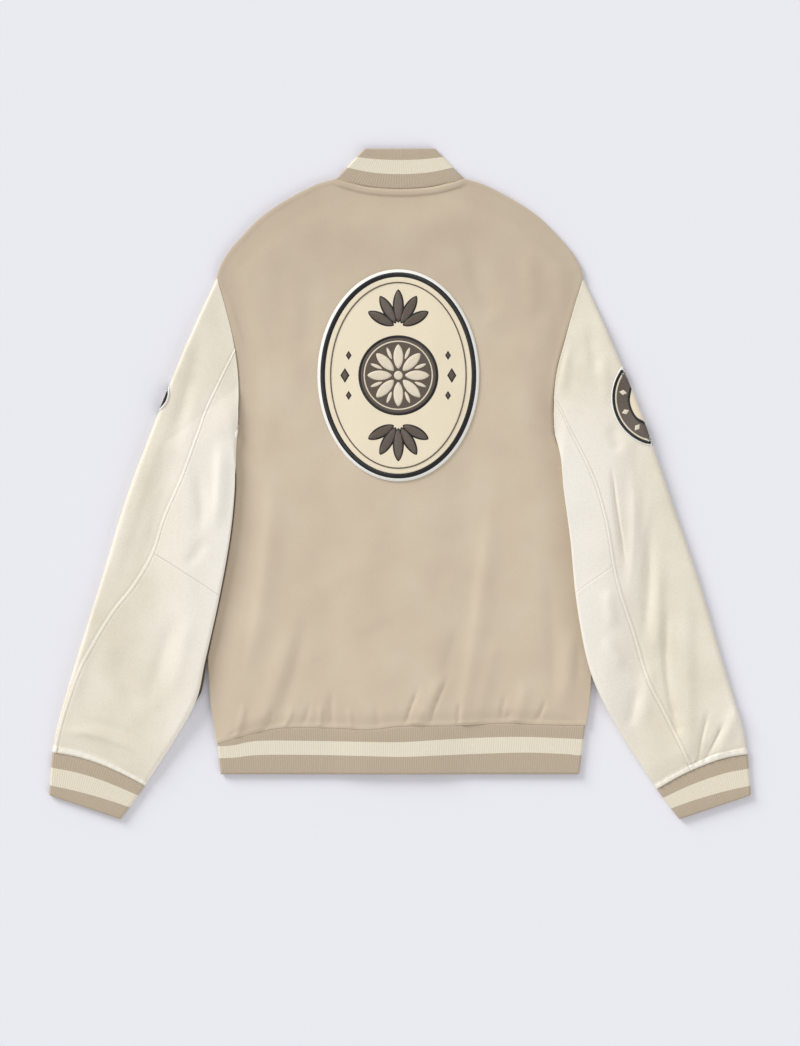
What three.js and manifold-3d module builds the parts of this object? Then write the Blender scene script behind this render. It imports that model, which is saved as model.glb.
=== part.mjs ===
// A varsity jacket laid flat, face down, so that its back lies uppermost. Millimetres, +Z up.
// X runs across the jacket, +Y towards the collar, and the surface it lies on is Z = 0. The origin is
// the middle of its box on that surface. Left is the wearer's left, which lies towards -X.
// Every piece of cloth is a wall of its own thickness. The fronts lie on the surface, the back lies on
// the fronts, and each sleeve is a flattened tube whose inner edge lies over the side of the body.
import * as THREE from "three";
import { mergeVertices } from "three/addons/utils/BufferGeometryUtils.js";
import Module from "manifold-3d";

const wasm = await Module();
wasm.setup();

// Thickness of each cloth, and the gaps that part neighbouring pieces
const BODY_CLOTH = 2.5;
const SLEEVE_CLOTH = 2.2;
const RIB_CLOTH = 2.6;
const PATCH_CLOTH = 1.2;
const GAP = 0.3;
const HALF_GAP = GAP / 2;

// How the layers lie
const PLACKET_REACH = 14; // each front passes the centre line by this much
const STEP_FROM = 20; // where the inner front starts to come down to the surface
const STEP_TO = 34; // and where it has reached it
const LIFT_TO = 90; // the layers above the overlap are level again here
const BODY_PUFF = 3.2; // how far the back stands off the fronts, away from its seams
const BODY_PUFF_WIDTH = 40;
const SLEEVE_HOLLOW = 3.6; // the most that a sleeve's two layers stand apart, folds aside
const SEAM_HOLLOW = 0.8; // and at its two ends
const SLEEVE_EDGE_RADIUS = 4.5;
const BODY_EDGE_TOP = 2 * BODY_CLOTH + GAP;
const OVER_BODY = BODY_EDGE_TOP + 0.9; // the underside of a sleeve where it lies on the body
const CLEAR_OF_BODY = 12; // that height is kept this far outside the body's edge
const LOWER_LAYER_DOWN = 45; // the sleeve's lower layer is down on the surface here
const UPPER_LAYER_DOWN = 62; // and its upper layer has come down by here

// Outline of the body. The two sides are alike, so they are given once as half widths.
const SIDE = [
  { y: -283, half: 224 },
  { y: -247, half: 228.5 },
  { y: -139, half: 233 },
  { y: -43, half: 236 },
  { y: 24, half: 238 },
];
const ARMHOLE = [
  { y: 24, left: -238, right: 238 },
  { y: 35, left: -210, right: 200 },
  { y: 56, left: -197, right: 186.5 },
  { y: 98, left: -193.5, right: 184.5 },
  { y: 135, left: -194.5, right: 188 },
  { y: 173, left: -200, right: 198 },
  { y: 212, left: -209.5, right: 209 },
  { y: 247, left: -219.5, right: 220 },
];
const SHOULDER = [
  { half: 219.7, y: 247 },
  { half: 215, y: 262 },
  { half: 203.5, y: 281 },
  { half: 186.5, y: 300 },
  { half: 167.5, y: 319 },
  { half: 140.5, y: 338 },
  { half: 102.5, y: 358 },
  { half: 76.5, y: 366 },
];
const BACK_NECK = [
  { half: 76.5, y: 366 },
  { half: 40, y: 356.5 },
  { half: 0, y: 353.5 },
];
const FRONT_NECK = [
  { half: 76.5, y: 366 },
  { half: 67, y: 332 },
  { half: 42, y: 303 },
  { half: 0, y: 290 },
];
const HEM_SEAM = [
  { x: -219, y: -312 },
  { x: -186, y: -302 },
  { x: -143, y: -293 },
  { x: -78, y: -293 },
  { x: -38, y: -295 },
  { x: 5, y: -290.5 },
  { x: 70, y: -290 },
  { x: 126, y: -287 },
  { x: 169, y: -289 },
  { x: 222, y: -290 },
];
const HEM_END = { y: -348, half: 215 };

// Outline of the collar, cuffs and sleeves
const COLLAR_TOP = { y: 402, half: 42.5 };
const COLLAR_FRONT = [
  { half: 42.5, y: 402 },
  { half: 40, y: 368 },
  { half: 24, y: 336 },
  { half: 1, y: 324 },
];
const SLEEVES = {
  left: {
    outer: [[-219.5, 247], [-254, 173], [-293, 77], [-329, -19], [-358, -115], [-388, -211], [-409, -283],
      [-417, -322]],
    inner: [[-197, 56], [-198.5, 29], [-198, -7], [-204, -67], [-217, -139], [-233, -211], [-244, -259],
      [-270, -307], [-306, -362]],
    cuffSeam: [[-417, -322], [-389, -327], [-361.5, -335.5], [-334, -347.5], [-306, -362]],
    cuffEnd: [[-421, -373], [-335, -402]],
    seam: [
      { s: 0, w: 0.47 },
      { s: 0.25, w: 0.56 },
      { s: 0.5, w: 0.36 },
      { s: 0.75, w: 0.1 },
      { s: 1, w: 0.07 },
    ],
    elbow: 0.44,
  },
  right: {
    outer: [[220, 247], [253, 173], [292, 77], [325, -19], [358, -115], [386, -211], [408, -283],
      [417, -324]],
    inner: [[186.5, 56], [193, 29], [196, -7], [204, -67], [211, -139], [224, -211], [242, -259], [269, -307],
      [308, -366]],
    cuffSeam: [[417, -324], [390, -328.5], [362.5, -338], [335, -350.5], [308, -366]],
    cuffEnd: [[421, -373], [335, -402]],
    seam: [
      { s: 0, w: 0.75 },
      { s: 0.25, w: 0.7 },
      { s: 0.5, w: 0.7 },
      { s: 0.75, w: 0.7 },
      { s: 1, w: 0.64 },
    ],
    elbow: 0.415,
  },
};
const UNDER_SEAM = 0.92; // where the sleeve's other seam runs on its underside, as a share of its width

// The largest folds. Each runs from one point through another to a third. Its height is negative for a
// trough, and it fades out at both ends unless it runs into a seam at the last one.
const BODY_FOLDS = [
  { from: [-150, 40], through: [-163, -110], to: [-186, -240], width: 9, height: 3.5 },
  { from: [-176, 20], through: [-181, -80], to: [-200, -200], width: 12, height: -2.5 },
  { from: [-132, -190], through: [-142, -240], to: [-172, -290], width: 8, height: -2.6, intoSeam: true },
  { from: [-105, -180], through: [-120, -235], to: [-150, -285], width: 8, height: 4, intoSeam: true },
  { from: [-82, -250], through: [-82, -270], to: [-82, -290], width: 7, height: -2.5, intoSeam: true },
  { from: [22, -238], through: [8, -265], to: [3, -288], width: 6, height: -3, intoSeam: true },
  { from: [66, -195], through: [48, -242], to: [30, -286], width: 7, height: -3.2, intoSeam: true },
  { from: [52, -215], through: [34, -255], to: [17, -286], width: 7, height: 4.5, intoSeam: true },
  { from: [114, 10], through: [94, -150], to: [72, -286], width: 9, height: 5.5, intoSeam: true },
  { from: [118, -175], through: [104, -235], to: [92, -286], width: 8, height: 3.5, intoSeam: true },
  { from: [128, -225], through: [122, -255], to: [118, -285], width: 7, height: -2.6, intoSeam: true },
  { from: [152, -230], through: [146, -262], to: [140, -286], width: 7, height: 3.5, intoSeam: true },
  { from: [174, -60], through: [184, -180], to: [188, -280], width: 10, height: -3 },
  { from: [206, -170], through: [201, -220], to: [197, -270], width: 8, height: 4 },
  { from: [78, 300], through: [98, 245], to: [110, 205], width: 10, height: -2.4 },
  { from: [60, 300], through: [76, 245], to: [84, 200], width: 12, height: 2.2 },
  { from: [168, 285], through: [172, 230], to: [170, 180], width: 11, height: -2.4 },
  { from: [150, 290], through: [156, 230], to: [158, 170], width: 10, height: 2.4 },
  { from: [-104, 260], through: [-112, 200], to: [-122, 140], width: 12, height: -2 },
];
const SLEEVE_FOLDS = {
  left: [
    { from: [-240, 200], through: [-282, 30], to: [-330, -130], width: 13, height: -2.4 },
    { from: [-262, 130], through: [-305, -20], to: [-345, -130], width: 10, height: 3 },
    { from: [-214, 60], through: [-216, 0], to: [-222, -60], width: 9, height: 3.5 },
    { from: [-246, 20], through: [-238, -20], to: [-240, -60], width: 7, height: -2.4 },
    { from: [-400, -302], through: [-355, -300], to: [-305, -330], width: 8, height: 3 },
    { from: [-312, -190], through: [-313, -235], to: [-318, -275], width: 14, height: -2.4 },
  ],
  right: [
    { from: [226, 196], through: [240, 100], to: [256, 40], width: 8, height: -2.2 },
    { from: [254, 50], through: [262, -40], to: [272, -130], width: 7, height: -3 },
    { from: [285, 60], through: [286, -30], to: [274, -150], width: 8, height: 5 },
    { from: [298, -40], through: [299, -120], to: [296, -200], width: 8, height: -2.8 },
    { from: [311, -80], through: [311, -150], to: [308, -215], width: 7, height: 3.5 },
    { from: [322, -150], through: [319, -220], to: [328, -285], width: 7, height: -3 },
    { from: [340, -200], through: [342, -250], to: [346, -320], width: 8, height: 4.5, intoSeam: true },
    { from: [374, -270], through: [364, -300], to: [358, -334], width: 6, height: -3, intoSeam: true },
    { from: [386, -276], through: [378, -305], to: [370, -332], width: 6, height: 4, intoSeam: true },
    { from: [302, -210], through: [296, -250], to: [290, -300], width: 8, height: 3 },
  ],
};

// Knitted ribs, patches and snaps
const RIB_PITCH = 2.7;
const RIB_RELIEF = 0.5;
const BACK_PATCH = { x: -2, y: 130, halfWidth: 97, halfHeight: 127, facets: 40 };
const SLEEVE_PATCHES = {
  left: { radius: 36, beyondEdge: 30, edgeY: 102, facets: 24 },
  right: { radius: 59, beyondEdge: 28, edgeY: 95, facets: 32 },
};
const SNAP = { radius: 7.5, thickness: 1.1, facets: 12, count: 6, topY: 262, spacing: 105, onHemY: -326 };
const SNAP_DENT = { radius: 8.4, depth: 1.45 };

// Materials
const MELTON = new THREE.MeshStandardMaterial({ color: 0xcbbaa0, roughness: 0.95, metalness: 0 });
const LEATHER = new THREE.MeshStandardMaterial({ color: 0xe9e2d0, roughness: 0.45, metalness: 0 });
const RIB_KNIT = new THREE.MeshStandardMaterial({ color: 0xb8a994, roughness: 0.9, metalness: 0 });
const PATCH_FELT = new THREE.MeshStandardMaterial({ color: 0xe9dabe, roughness: 0.95, metalness: 0 });
const PATCH_BROWN = new THREE.MeshStandardMaterial({ color: 0x5d5348, roughness: 0.9, metalness: 0 });
const SNAP_METAL = new THREE.MeshStandardMaterial({ color: 0xb9a98f, roughness: 0.4, metalness: 0.6 });

const jacket = new THREE.Group();
const point = (x, y, z) => new THREE.Vector3(x, y, z);
const mix = (a, b, t) => a + (b - a) * t;
const clamped = (share) => Math.min(1, Math.max(0, share));

function smooth(from, to, value) {
  const t = clamped((value - from) / (to - from));
  return t * t * (3 - 2 * t);
}

// Every value of a list from the first to the last in equal steps
function steps(count, from = 0, to = 1) {
  return Array.from({ length: count + 1 }, (_, i) => mix(from, to, i / count));
}

// A smooth plan curve through [x, y] pairs, read by share of its length
function curve(pairs) {
  const spline = new THREE.SplineCurve(pairs.map(([x, y]) => new THREE.Vector2(x, y)));
  return {
    getPointAt: (t) => spline.getPointAt(clamped(t)),
    getPoints: (count) => spline.getPoints(count),
  };
}

// Two curves end to end, with the first one taking the given share of the whole
function joined(first, second, share) {
  return {
    getPointAt(t) {
      return t <= share ? first.getPointAt(t / share) : second.getPointAt((t - share) / (1 - share));
    },
  };
}

function straight(a, b) {
  return { getPointAt: (t) => new THREE.Vector2(mix(a.x, b.x, t), mix(a.y, b.y, t)) };
}

// The curve moved sideways, to the left of its own direction
function moved(path, distance) {
  const small = 0.002;
  return {
    getPointAt(share) {
      const t = clamped(share);
      const a = path.getPointAt(clamped(t - small));
      const b = path.getPointAt(clamped(t + small));
      const length = Math.hypot(b.x - a.x, b.y - a.y);
      const across = new THREE.Vector2(a.y - b.y, b.x - a.x).multiplyScalar(distance / length);
      return path.getPointAt(t).clone().add(across);
    },
  };
}

// A plan patch spanned by its four edges: bottom and top run along u, left and right along v
function spanned(bottom, top, left, right) {
  const [bottomLeft, bottomRight] = [bottom.getPointAt(0), bottom.getPointAt(1)];
  const [topLeft, topRight] = [top.getPointAt(0), top.getPointAt(1)];
  return (u, v) => {
    const b = bottom.getPointAt(u);
    const t = top.getPointAt(u);
    const l = left.getPointAt(v);
    const r = right.getPointAt(v);
    const across = (axis) =>
      (1 - v) * b[axis] + v * t[axis] + (1 - u) * l[axis] + u * r[axis] -
      ((1 - u) * (1 - v) * bottomLeft[axis] + u * (1 - v) * bottomRight[axis] +
        (1 - u) * v * topLeft[axis] + u * v * topRight[axis]);
    return new THREE.Vector2(across("x"), across("y"));
  };
}

// The value of a smooth curve through a table's rows, where one named column gives the place
function readTable(rows, place, column) {
  const path = curve(rows.map((row) => [row[place], row[column]]));
  const points = path.getPoints(12 * rows.length).sort((a, b) => a.x - b.x);
  return (at) => {
    if (at <= points[0].x) return points[0].y;
    const next = points.findIndex((p) => p.x >= at);
    if (next < 0) return points[points.length - 1].y;
    const a = points[next - 1];
    const b = points[next];
    return mix(a.y, b.y, (at - a.x) / Math.max(1e-9, b.x - a.x));
  };
}

// A fold's path: a parabola through its three points
function foldPath(fold) {
  const control = [0, 1].map((k) => 2 * fold.through[k] - (fold.from[k] + fold.to[k]) / 2);
  return steps(14).map((t) =>
    [0, 1].map((k) => (1 - t) ** 2 * fold.from[k] + 2 * t * (1 - t) * control[k] + t * t * fold.to[k]));
}

// The height that a table of folds adds at a place
function foldHeights(folds) {
  const paths = folds.map((fold) => ({ fold, path: foldPath(fold) }));
  return (x, y) => paths.reduce((sum, { fold, path }) => {
    let nearest = { distance: Infinity, along: 0 };
    for (let i = 0; i + 1 < path.length; i++) {
      const [ax, ay] = path[i];
      const [dx, dy] = [path[i + 1][0] - ax, path[i + 1][1] - ay];
      const t = clamped(((x - ax) * dx + (y - ay) * dy) / (dx * dx + dy * dy));
      const distance = Math.hypot(x - ax - t * dx, y - ay - t * dy);
      if (distance < nearest.distance) nearest = { distance, along: (i + t) / (path.length - 1) };
    }
    const end = fold.intoSeam ? 1 : smooth(0, 0.3, 1 - nearest.along);
    const fade = smooth(0, 0.35, nearest.along) * end;
    return sum + fold.height * fade * Math.exp(-((nearest.distance / fold.width) ** 2));
  }, 0);
}

// A closed geometry from triangles, turned so that its faces point outwards
function closedGeometry(points, triangles) {
  const volume = triangles.reduce((sum, [a, b, c]) =>
    sum + points[a].dot(new THREE.Vector3().crossVectors(points[b], points[c])), 0);
  const index = volume < 0 ? triangles.flatMap(([a, b, c]) => [a, c, b]) : triangles.flat();
  const geometry = new THREE.BufferGeometry().setFromPoints(points);
  geometry.setIndex(index);
  return geometry;
}

// A wall between an outer and an inner grid of points with the same rows and columns
function wall(outer, inner) {
  const rows = outer.length;
  const columns = outer[0].length;
  const points = [...outer.flat(), ...inner.flat()];
  const at = (layer, i, j) => (layer * rows + i) * columns + j;
  const triangles = [];
  const quad = (a, b, c, d) => triangles.push([a, b, c], [a, c, d]);
  for (let i = 0; i + 1 < rows; i++) {
    for (let j = 0; j + 1 < columns; j++) {
      quad(at(0, i, j), at(0, i + 1, j), at(0, i + 1, j + 1), at(0, i, j + 1));
      quad(at(1, i, j), at(1, i, j + 1), at(1, i + 1, j + 1), at(1, i + 1, j));
    }
    quad(at(0, i, 0), at(1, i, 0), at(1, i + 1, 0), at(0, i + 1, 0));
    quad(at(0, i, columns - 1), at(0, i + 1, columns - 1), at(1, i + 1, columns - 1), at(1, i, columns - 1));
  }
  for (let j = 0; j + 1 < columns; j++) {
    quad(at(0, 0, j), at(0, 0, j + 1), at(1, 0, j + 1), at(1, 0, j));
    quad(at(0, rows - 1, j), at(1, rows - 1, j), at(1, rows - 1, j + 1), at(0, rows - 1, j + 1));
  }
  return closedGeometry(points, triangles);
}

// A band of cloth between two edges, as a wall. The outer face has all the stations, and the plain inner
// face only those marked as such, so that ribs are raised on the outside alone.
function band(stations, isRing) {
  const points = [];
  const add = (p) => points.push(p) - 1;
  const edges = { outerSeam: [], outerEnd: [], innerSeam: [], innerEnd: [] };
  stations.forEach((station, place) => {
    edges.outerSeam.push({ place, id: add(station.outerSeam) });
    edges.outerEnd.push({ place, id: add(station.outerEnd) });
    if (!station.innerSeam) return;
    edges.innerSeam.push({ place, id: add(station.innerSeam) });
    edges.innerEnd.push({ place, id: add(station.innerEnd) });
  });
  if (isRing) Object.values(edges).forEach((edge) => edge.push({ place: stations.length, id: edge[0].id }));
  const triangles = [];
  // Joins two edges with triangles, stepping along whichever is behind
  const stitch = (a, b) => {
    let i = 0;
    let j = 0;
    while (i + 1 < a.length || j + 1 < b.length) {
      const stepA = j + 1 >= b.length || (i + 1 < a.length && a[i + 1].place <= b[j + 1].place);
      if (stepA) triangles.push([a[i].id, a[++i].id, b[j].id]);
      else triangles.push([a[i].id, b[j + 1].id, b[j++].id]);
    }
  };
  stitch(edges.outerSeam, edges.outerEnd);
  stitch(edges.outerEnd, edges.innerEnd);
  stitch(edges.innerEnd, edges.innerSeam);
  stitch(edges.innerSeam, edges.outerSeam);
  if (!isRing) {
    const corners = (k) => [edges.outerSeam, edges.outerEnd, edges.innerEnd, edges.innerSeam].map((e) => e.at(k).id);
    const [a, b, c, d] = corners(0);
    const [e, f, g, h] = corners(-1);
    triangles.push([a, b, c], [a, c, d], [e, g, f], [e, h, g]);
  }
  return closedGeometry(points, triangles);
}

function toSolid(geometry) {
  const bare = geometry.clone();
  bare.deleteAttribute("normal");
  bare.deleteAttribute("uv");
  const merged = mergeVertices(bare, 1e-4);
  return new wasm.Manifold(new wasm.Mesh({
    numProp: 3,
    vertProperties: new Float32Array(merged.attributes.position.array),
    triVerts: new Uint32Array(merged.index.array),
  }));
}

function toGeometry(solid) {
  const mesh = solid.getMesh();
  const geometry = new THREE.BufferGeometry();
  geometry.setAttribute("position", new THREE.BufferAttribute(new Float32Array(mesh.vertProperties), 3));
  geometry.setIndex(Array.from(mesh.triVerts));
  return geometry;
}

function addPiece(name, geometry, material) {
  const mesh = new THREE.Mesh(geometry, material);
  mesh.name = name;
  jacket.add(mesh);
}

// An upright cylinder with an oval section, for cutting
function uprightOval(x, y, halfWidth, halfHeight, low, high, facets) {
  const cylinder = new THREE.CylinderGeometry(1, 1, high - low, facets);
  cylinder.rotateX(Math.PI / 2);
  cylinder.scale(halfWidth, halfHeight, 1);
  cylinder.translate(x, y, (low + high) / 2);
  return toSolid(cylinder);
}

// Body outline
const SIGN = { left: -1, right: 1 };
const hemSeam = curve(HEM_SEAM.map((row) => [row.x, row.y]));
const hemY = readTable(HEM_SEAM, "x", "y");
const UNDERARM_SHARE = 0.5; // of a side edge's rows, those below the underarm
const NECK_FROM = 0.3; // the neckline takes the middle part of the top edge
const armhole = (side) => curve(ARMHOLE.map((row) => [row[side], row.y]));
const sideSeam = (side) => {
  const corner = side === "left" ? HEM_SEAM[0] : HEM_SEAM[HEM_SEAM.length - 1];
  return curve([[corner.x, corner.y], ...SIDE.map((row) => [SIGN[side] * row.half, row.y])]);
};
const halfCurve = (rows, sign, reverse) => {
  const pairs = rows.map((row) => [sign * row.half, row.y]);
  return curve(reverse ? pairs.reverse() : pairs);
};
const backNeckLine = curve([...BACK_NECK.map((row) => [-row.half, row.y]),
  ...BACK_NECK.slice(0, 2).reverse().map((row) => [row.half, row.y])]);
function bodyEdge(side) {
  return moved(joined(sideSeam(side), armhole(side), UNDERARM_SHARE), SIGN[side] * HALF_GAP);
}

// How far a place is inside the part of the back that shows
const visibleSide = (side) => {
  const inner = SLEEVES[side].inner.filter(([, y]) => y > -215 && y < 50).map(([x, y]) => ({ y, x }));
  const below = SIDE.filter((row) => row.y < -240).map((row) => ({ y: row.y, x: SIGN[side] * row.half }));
  const above = ARMHOLE.filter((row) => row.y > 50).map((row) => ({ y: row.y, x: row[side] }));
  return readTable([...below, ...inner.reverse(), ...above].sort((a, b) => a.y - b.y), "y", "x");
};
const visible = { left: visibleSide("left"), right: visibleSide("right") };
const topHalfWidthY = readTable([...BACK_NECK.slice(1), ...SHOULDER].sort((a, b) => a.half - b.half), "half", "y");
const topY = (x) => topHalfWidthY(Math.abs(x));
function insideBack(x, y) {
  return Math.min(x - visible.left(y), visible.right(y) - x, 0.8 * (topY(x) - y), 2 * (y - hemY(x)));
}

// Heights of the layers over the overlap of the fronts, and of the back's upper face
function overOverlap(x, cloth) {
  return (cloth + GAP) * (1 - smooth(STEP_TO, LIFT_TO, Math.abs(x)));
}
const bodyFolds = foldHeights(BODY_FOLDS);
function backTop(x, y) {
  const inside = insideBack(x, y);
  const overlap = overOverlap(x, BODY_CLOTH) * (1 - smooth(300, 345, y));
  const puff = BODY_PUFF * smooth(0, BODY_PUFF_WIDTH, inside);
  const folds = bodyFolds(x, y) * smooth(0, 8, inside);
  return BODY_EDGE_TOP + overlap + Math.max(0, puff + folds);
}

// Back panel: one wall from the hem to the shoulders and the back neckline
const backTopEdge = (() => {
  const left = halfCurve(SHOULDER, -1);
  const neck = backNeckLine;
  const right = halfCurve(SHOULDER, 1, true);
  return moved({
    getPointAt(t) {
      if (t <= NECK_FROM) return left.getPointAt(t / NECK_FROM);
      if (t >= 1 - NECK_FROM) return right.getPointAt((t - 1 + NECK_FROM) / NECK_FROM);
      return neck.getPointAt((t - NECK_FROM) / (1 - 2 * NECK_FROM));
    },
  }, -HALF_GAP);
})();
const backPlan = spanned(moved(hemSeam, HALF_GAP), backTopEdge, bodyEdge("left"), bodyEdge("right"));
const BACK_COLUMNS = [...steps(12, 0, NECK_FROM), ...steps(18, NECK_FROM, 1 - NECK_FROM).slice(1),
  ...steps(12, 1 - NECK_FROM, 1).slice(1)];
const BACK_ROWS = [0, 0.018, 0.045, 0.09, 0.14, 0.2, 0.27, 0.34, 0.42, UNDERARM_SHARE, 0.53, 0.56, 0.61, 0.67,
  0.715, 0.745, 0.77, 0.81, 0.86, 0.91, 0.96, 1];
const backGrid = (offset) => BACK_ROWS.map((v) => BACK_COLUMNS.map((u) => {
  const p = backPlan(u, v);
  return point(p.x, p.y, backTop(p.x, p.y) + offset);
}));
addPiece("back_panel", wall(backGrid(0), backGrid(-BODY_CLOTH)), MELTON);

// Fronts: flat on the surface, with the right one passing over the left one's edge at the centre
const HEM_HALF = 219; // the places along the lower hem seam are given on this half width
function hemPlace(side, distance) {
  const corner = side === "left" ? HEM_SEAM[0].x : HEM_SEAM[HEM_SEAM.length - 1].x;
  const x = (distance * corner) / HEM_HALF;
  return { x, y: hemY(x) };
}
const LOWER_PLACES = {
  left: [HEM_HALF - 3, 190, 150, 110, 60, 20, -PLACKET_REACH],
  right: [HEM_HALF - 3, 190, 150, 110, 60, STEP_TO, 30.5, 27, 23.5, STEP_FROM, 12, 0, -PLACKET_REACH],
};
const frontNeckLine = (side) => curve(FRONT_NECK.map((row) => [SIGN[side] * row.half, row.y]));
const frontNeckY = readTable(FRONT_NECK, "half", "y");
// The height of the right front's lower face, where it comes down from the left one to the surface
function stepDown(x, cloth) {
  return (cloth + GAP) * (1 - smooth(STEP_FROM, STEP_TO, x));
}
// A flat front between its side, shoulder, neckline and a straight edge at the centre
function frontPlate(side, edgeX) {
  const sign = SIGN[side];
  const sideLine = bodyEdge(side);
  const shoulder = moved(halfCurve(SHOULDER, sign), sign * HALF_GAP);
  const neck = moved(frontNeckLine(side), sign * HALF_GAP);
  const outline = [
    ...BACK_ROWS.map((v) => sideLine.getPointAt(v)),
    ...steps(12).slice(1).map((t) => shoulder.getPointAt(t)),
    ...steps(26).slice(1).map((t) => neck.getPointAt(t)).filter((p) => sign * (p.x - edgeX) > 1),
    { x: edgeX, y: frontNeckY(Math.max(0, sign * edgeX)) - HALF_GAP },
    ...LOWER_PLACES[side].map((d) => hemPlace(side, d)).reverse().filter((p) => sign * (p.x - edgeX) > -0.3)
      .map((p) => ({ x: p.x, y: p.y + HALF_GAP })),
  ];
  const shape = new THREE.Shape(outline.map((p) => new THREE.Vector2(p.x, p.y)));
  return new THREE.ExtrudeGeometry(shape, { depth: BODY_CLOTH, bevelEnabled: false });
}
// The right front's strip along the centre
function frontOverlap() {
  const xs = LOWER_PLACES.right.filter((d) => d <= STEP_TO).map((d) => hemPlace("right", d).x);
  const bottom = (x) => hemY(x) + HALF_GAP;
  const top = (x) => frontNeckY(Math.max(0, x)) - HALF_GAP;
  const grid = (height) => [bottom, top].map((edge) =>
    xs.map((x) => point(x, edge(x), stepDown(x, BODY_CLOTH) + height)));
  return { x: xs[0], geometry: wall(grid(BODY_CLOTH), grid(0)) };
}
const lowestSnap = SNAP.topY - SNAP.spacing * (SNAP.count - 1);
const snapPlaces = [...steps(SNAP.count - 1, SNAP.topY, lowestSnap), SNAP.onHemY];
const dents = snapPlaces.map((y) =>
  uprightOval(0, y, SNAP_DENT.radius, SNAP_DENT.radius, -2, SNAP_DENT.depth, SNAP.facets));
function dented(geometry) {
  return toGeometry(dents.reduce((solid, dent) => solid.subtract(dent), toSolid(geometry)));
}
addPiece("front_left", dented(frontPlate("left", PLACKET_REACH)), MELTON);
const overlap = frontOverlap();
const rightFront = toSolid(frontPlate("right", overlap.x)).add(toSolid(overlap.geometry));
addPiece("front_right", toGeometry(rightFront), MELTON);

// Stations of a rib band where it folds round from the lower layer to the upper one. Each layer gives the
// corner of its seam and of its free edge, with the way that points outwards there.
const RIB_MIDDLE = RIB_CLOTH + HALF_GAP;
function cornerOf(path, share) {
  const place = path.getPointAt(share);
  return { place, outward: place.clone().sub(path.getPointAt(mix(share, 0.5, 0.06))).normalize() };
}
function foldStations(lower, upper, goesUp) {
  const degrees = goesUp ? [-45, -1.5, 1.5, 45] : [45, 1.5, -1.5, -45];
  return degrees.map((angle) => {
    const turn = THREE.MathUtils.degToRad(angle);
    const at = (edge, radius) => {
      const { place, outward } = (angle > 0 ? upper : lower)[edge];
      const reach = radius * Math.cos(turn) - RIB_MIDDLE;
      const height = RIB_MIDDLE + radius * Math.sin(turn);
      return point(place.x + outward.x * reach, place.y + outward.y * reach, height);
    };
    return { outerSeam: at("seam", RIB_MIDDLE), outerEnd: at("end", RIB_MIDDLE),
      innerSeam: at("seam", HALF_GAP), innerEnd: at("end", HALF_GAP) };
  });
}
function flatStation(seam, end, isTop, lift = 0, isInner = true, rib = 0) {
  const outer = isTop ? 2 * RIB_MIDDLE + lift + rib : lift;
  const inner = isTop ? RIB_MIDDLE + HALF_GAP + lift : lift + RIB_CLOTH;
  const station = { outerSeam: point(seam.x, seam.y, outer), outerEnd: point(end.x, end.y, outer) };
  if (!isInner) return station;
  return { ...station, innerSeam: point(seam.x, seam.y, inner), innerEnd: point(end.x, end.y, inner) };
}
// The upper layer of a rib band between two edges, with its ribs
function ribStations(seam, end, liftAt, inset) {
  const a = seam.getPointAt(0);
  const b = seam.getPointAt(1);
  const width = Math.hypot(b.x - a.x, b.y - a.y);
  const count = Math.round((width - 2 * inset) / RIB_PITCH);
  return steps(2 * count, inset / width, 1 - inset / width).map((t, i) => {
    const s = seam.getPointAt(t);
    const isInner = i % 8 === 0 || i === 2 * count;
    return flatStation(s, end.getPointAt(t), true, liftAt(s.x), isInner, i % 2 ? RIB_RELIEF : 0);
  });
}

// Hem rib: one strip from the left front's edge, round both sides, to the right front's edge
const hemRibSeam = {
  getPointAt(t) {
    const x = mix(HEM_SEAM[0].x, HEM_SEAM[HEM_SEAM.length - 1].x, t);
    return new THREE.Vector2(x, hemY(x) - HALF_GAP);
  },
};
const hemRibEnd = straight({ x: -HEM_END.half, y: HEM_END.y }, { x: HEM_END.half, y: HEM_END.y });
function hemLower(side) {
  return LOWER_PLACES[side].map((distance) => {
    const seam = hemPlace(side, distance);
    const end = { x: (SIGN[side] * distance * HEM_END.half) / HEM_HALF, y: HEM_END.y };
    const lift = side === "left" ? 0 : stepDown(seam.x, RIB_CLOTH);
    return flatStation({ x: seam.x, y: seam.y - HALF_GAP }, end, false, lift);
  });
}
const hemCorner = (share) => ({ seam: cornerOf(hemRibSeam, share), end: cornerOf(hemRibEnd, share) });
const hemStations = [
  ...hemLower("left").reverse(),
  ...foldStations(hemCorner(0), hemCorner(0), true),
  ...ribStations(hemRibSeam, hemRibEnd, (x) => overOverlap(x, RIB_CLOTH), RIB_MIDDLE),
  ...foldStations(hemCorner(1), hemCorner(1), false),
  ...hemLower("right"),
];
addPiece("hem_rib", dented(band(hemStations, false)), RIB_KNIT);

// Cuff ribs: flattened rings at the ends of the sleeves
const CUFF_LOWER_PLACES = [0.965, 0.92, 0.82, 0.72, 0.62, 0.5, 0.36, 0.2, 0.043];
function cuff(side) {
  const sleeve = SLEEVES[side];
  const seam = moved(curve(sleeve.cuffSeam), side === "left" ? -HALF_GAP : HALF_GAP);
  const end = straight(...sleeve.cuffEnd.map(([x, y]) => ({ x, y })));
  const corner = (share) => ({ seam: cornerOf(seam, share), end: cornerOf(end, share) });
  const stations = [
    ...ribStations(seam, end, () => 0, RIB_MIDDLE),
    ...foldStations(corner(1), corner(1), false),
    ...CUFF_LOWER_PLACES.map((t) => flatStation(seam.getPointAt(t), end.getPointAt(t), false)),
    ...foldStations(corner(0), corner(0), true),
  ];
  return band(stations, true);
}
["left", "right"].forEach((side) => addPiece(`cuff_rib_${side}`, cuff(side), RIB_KNIT));

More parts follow.
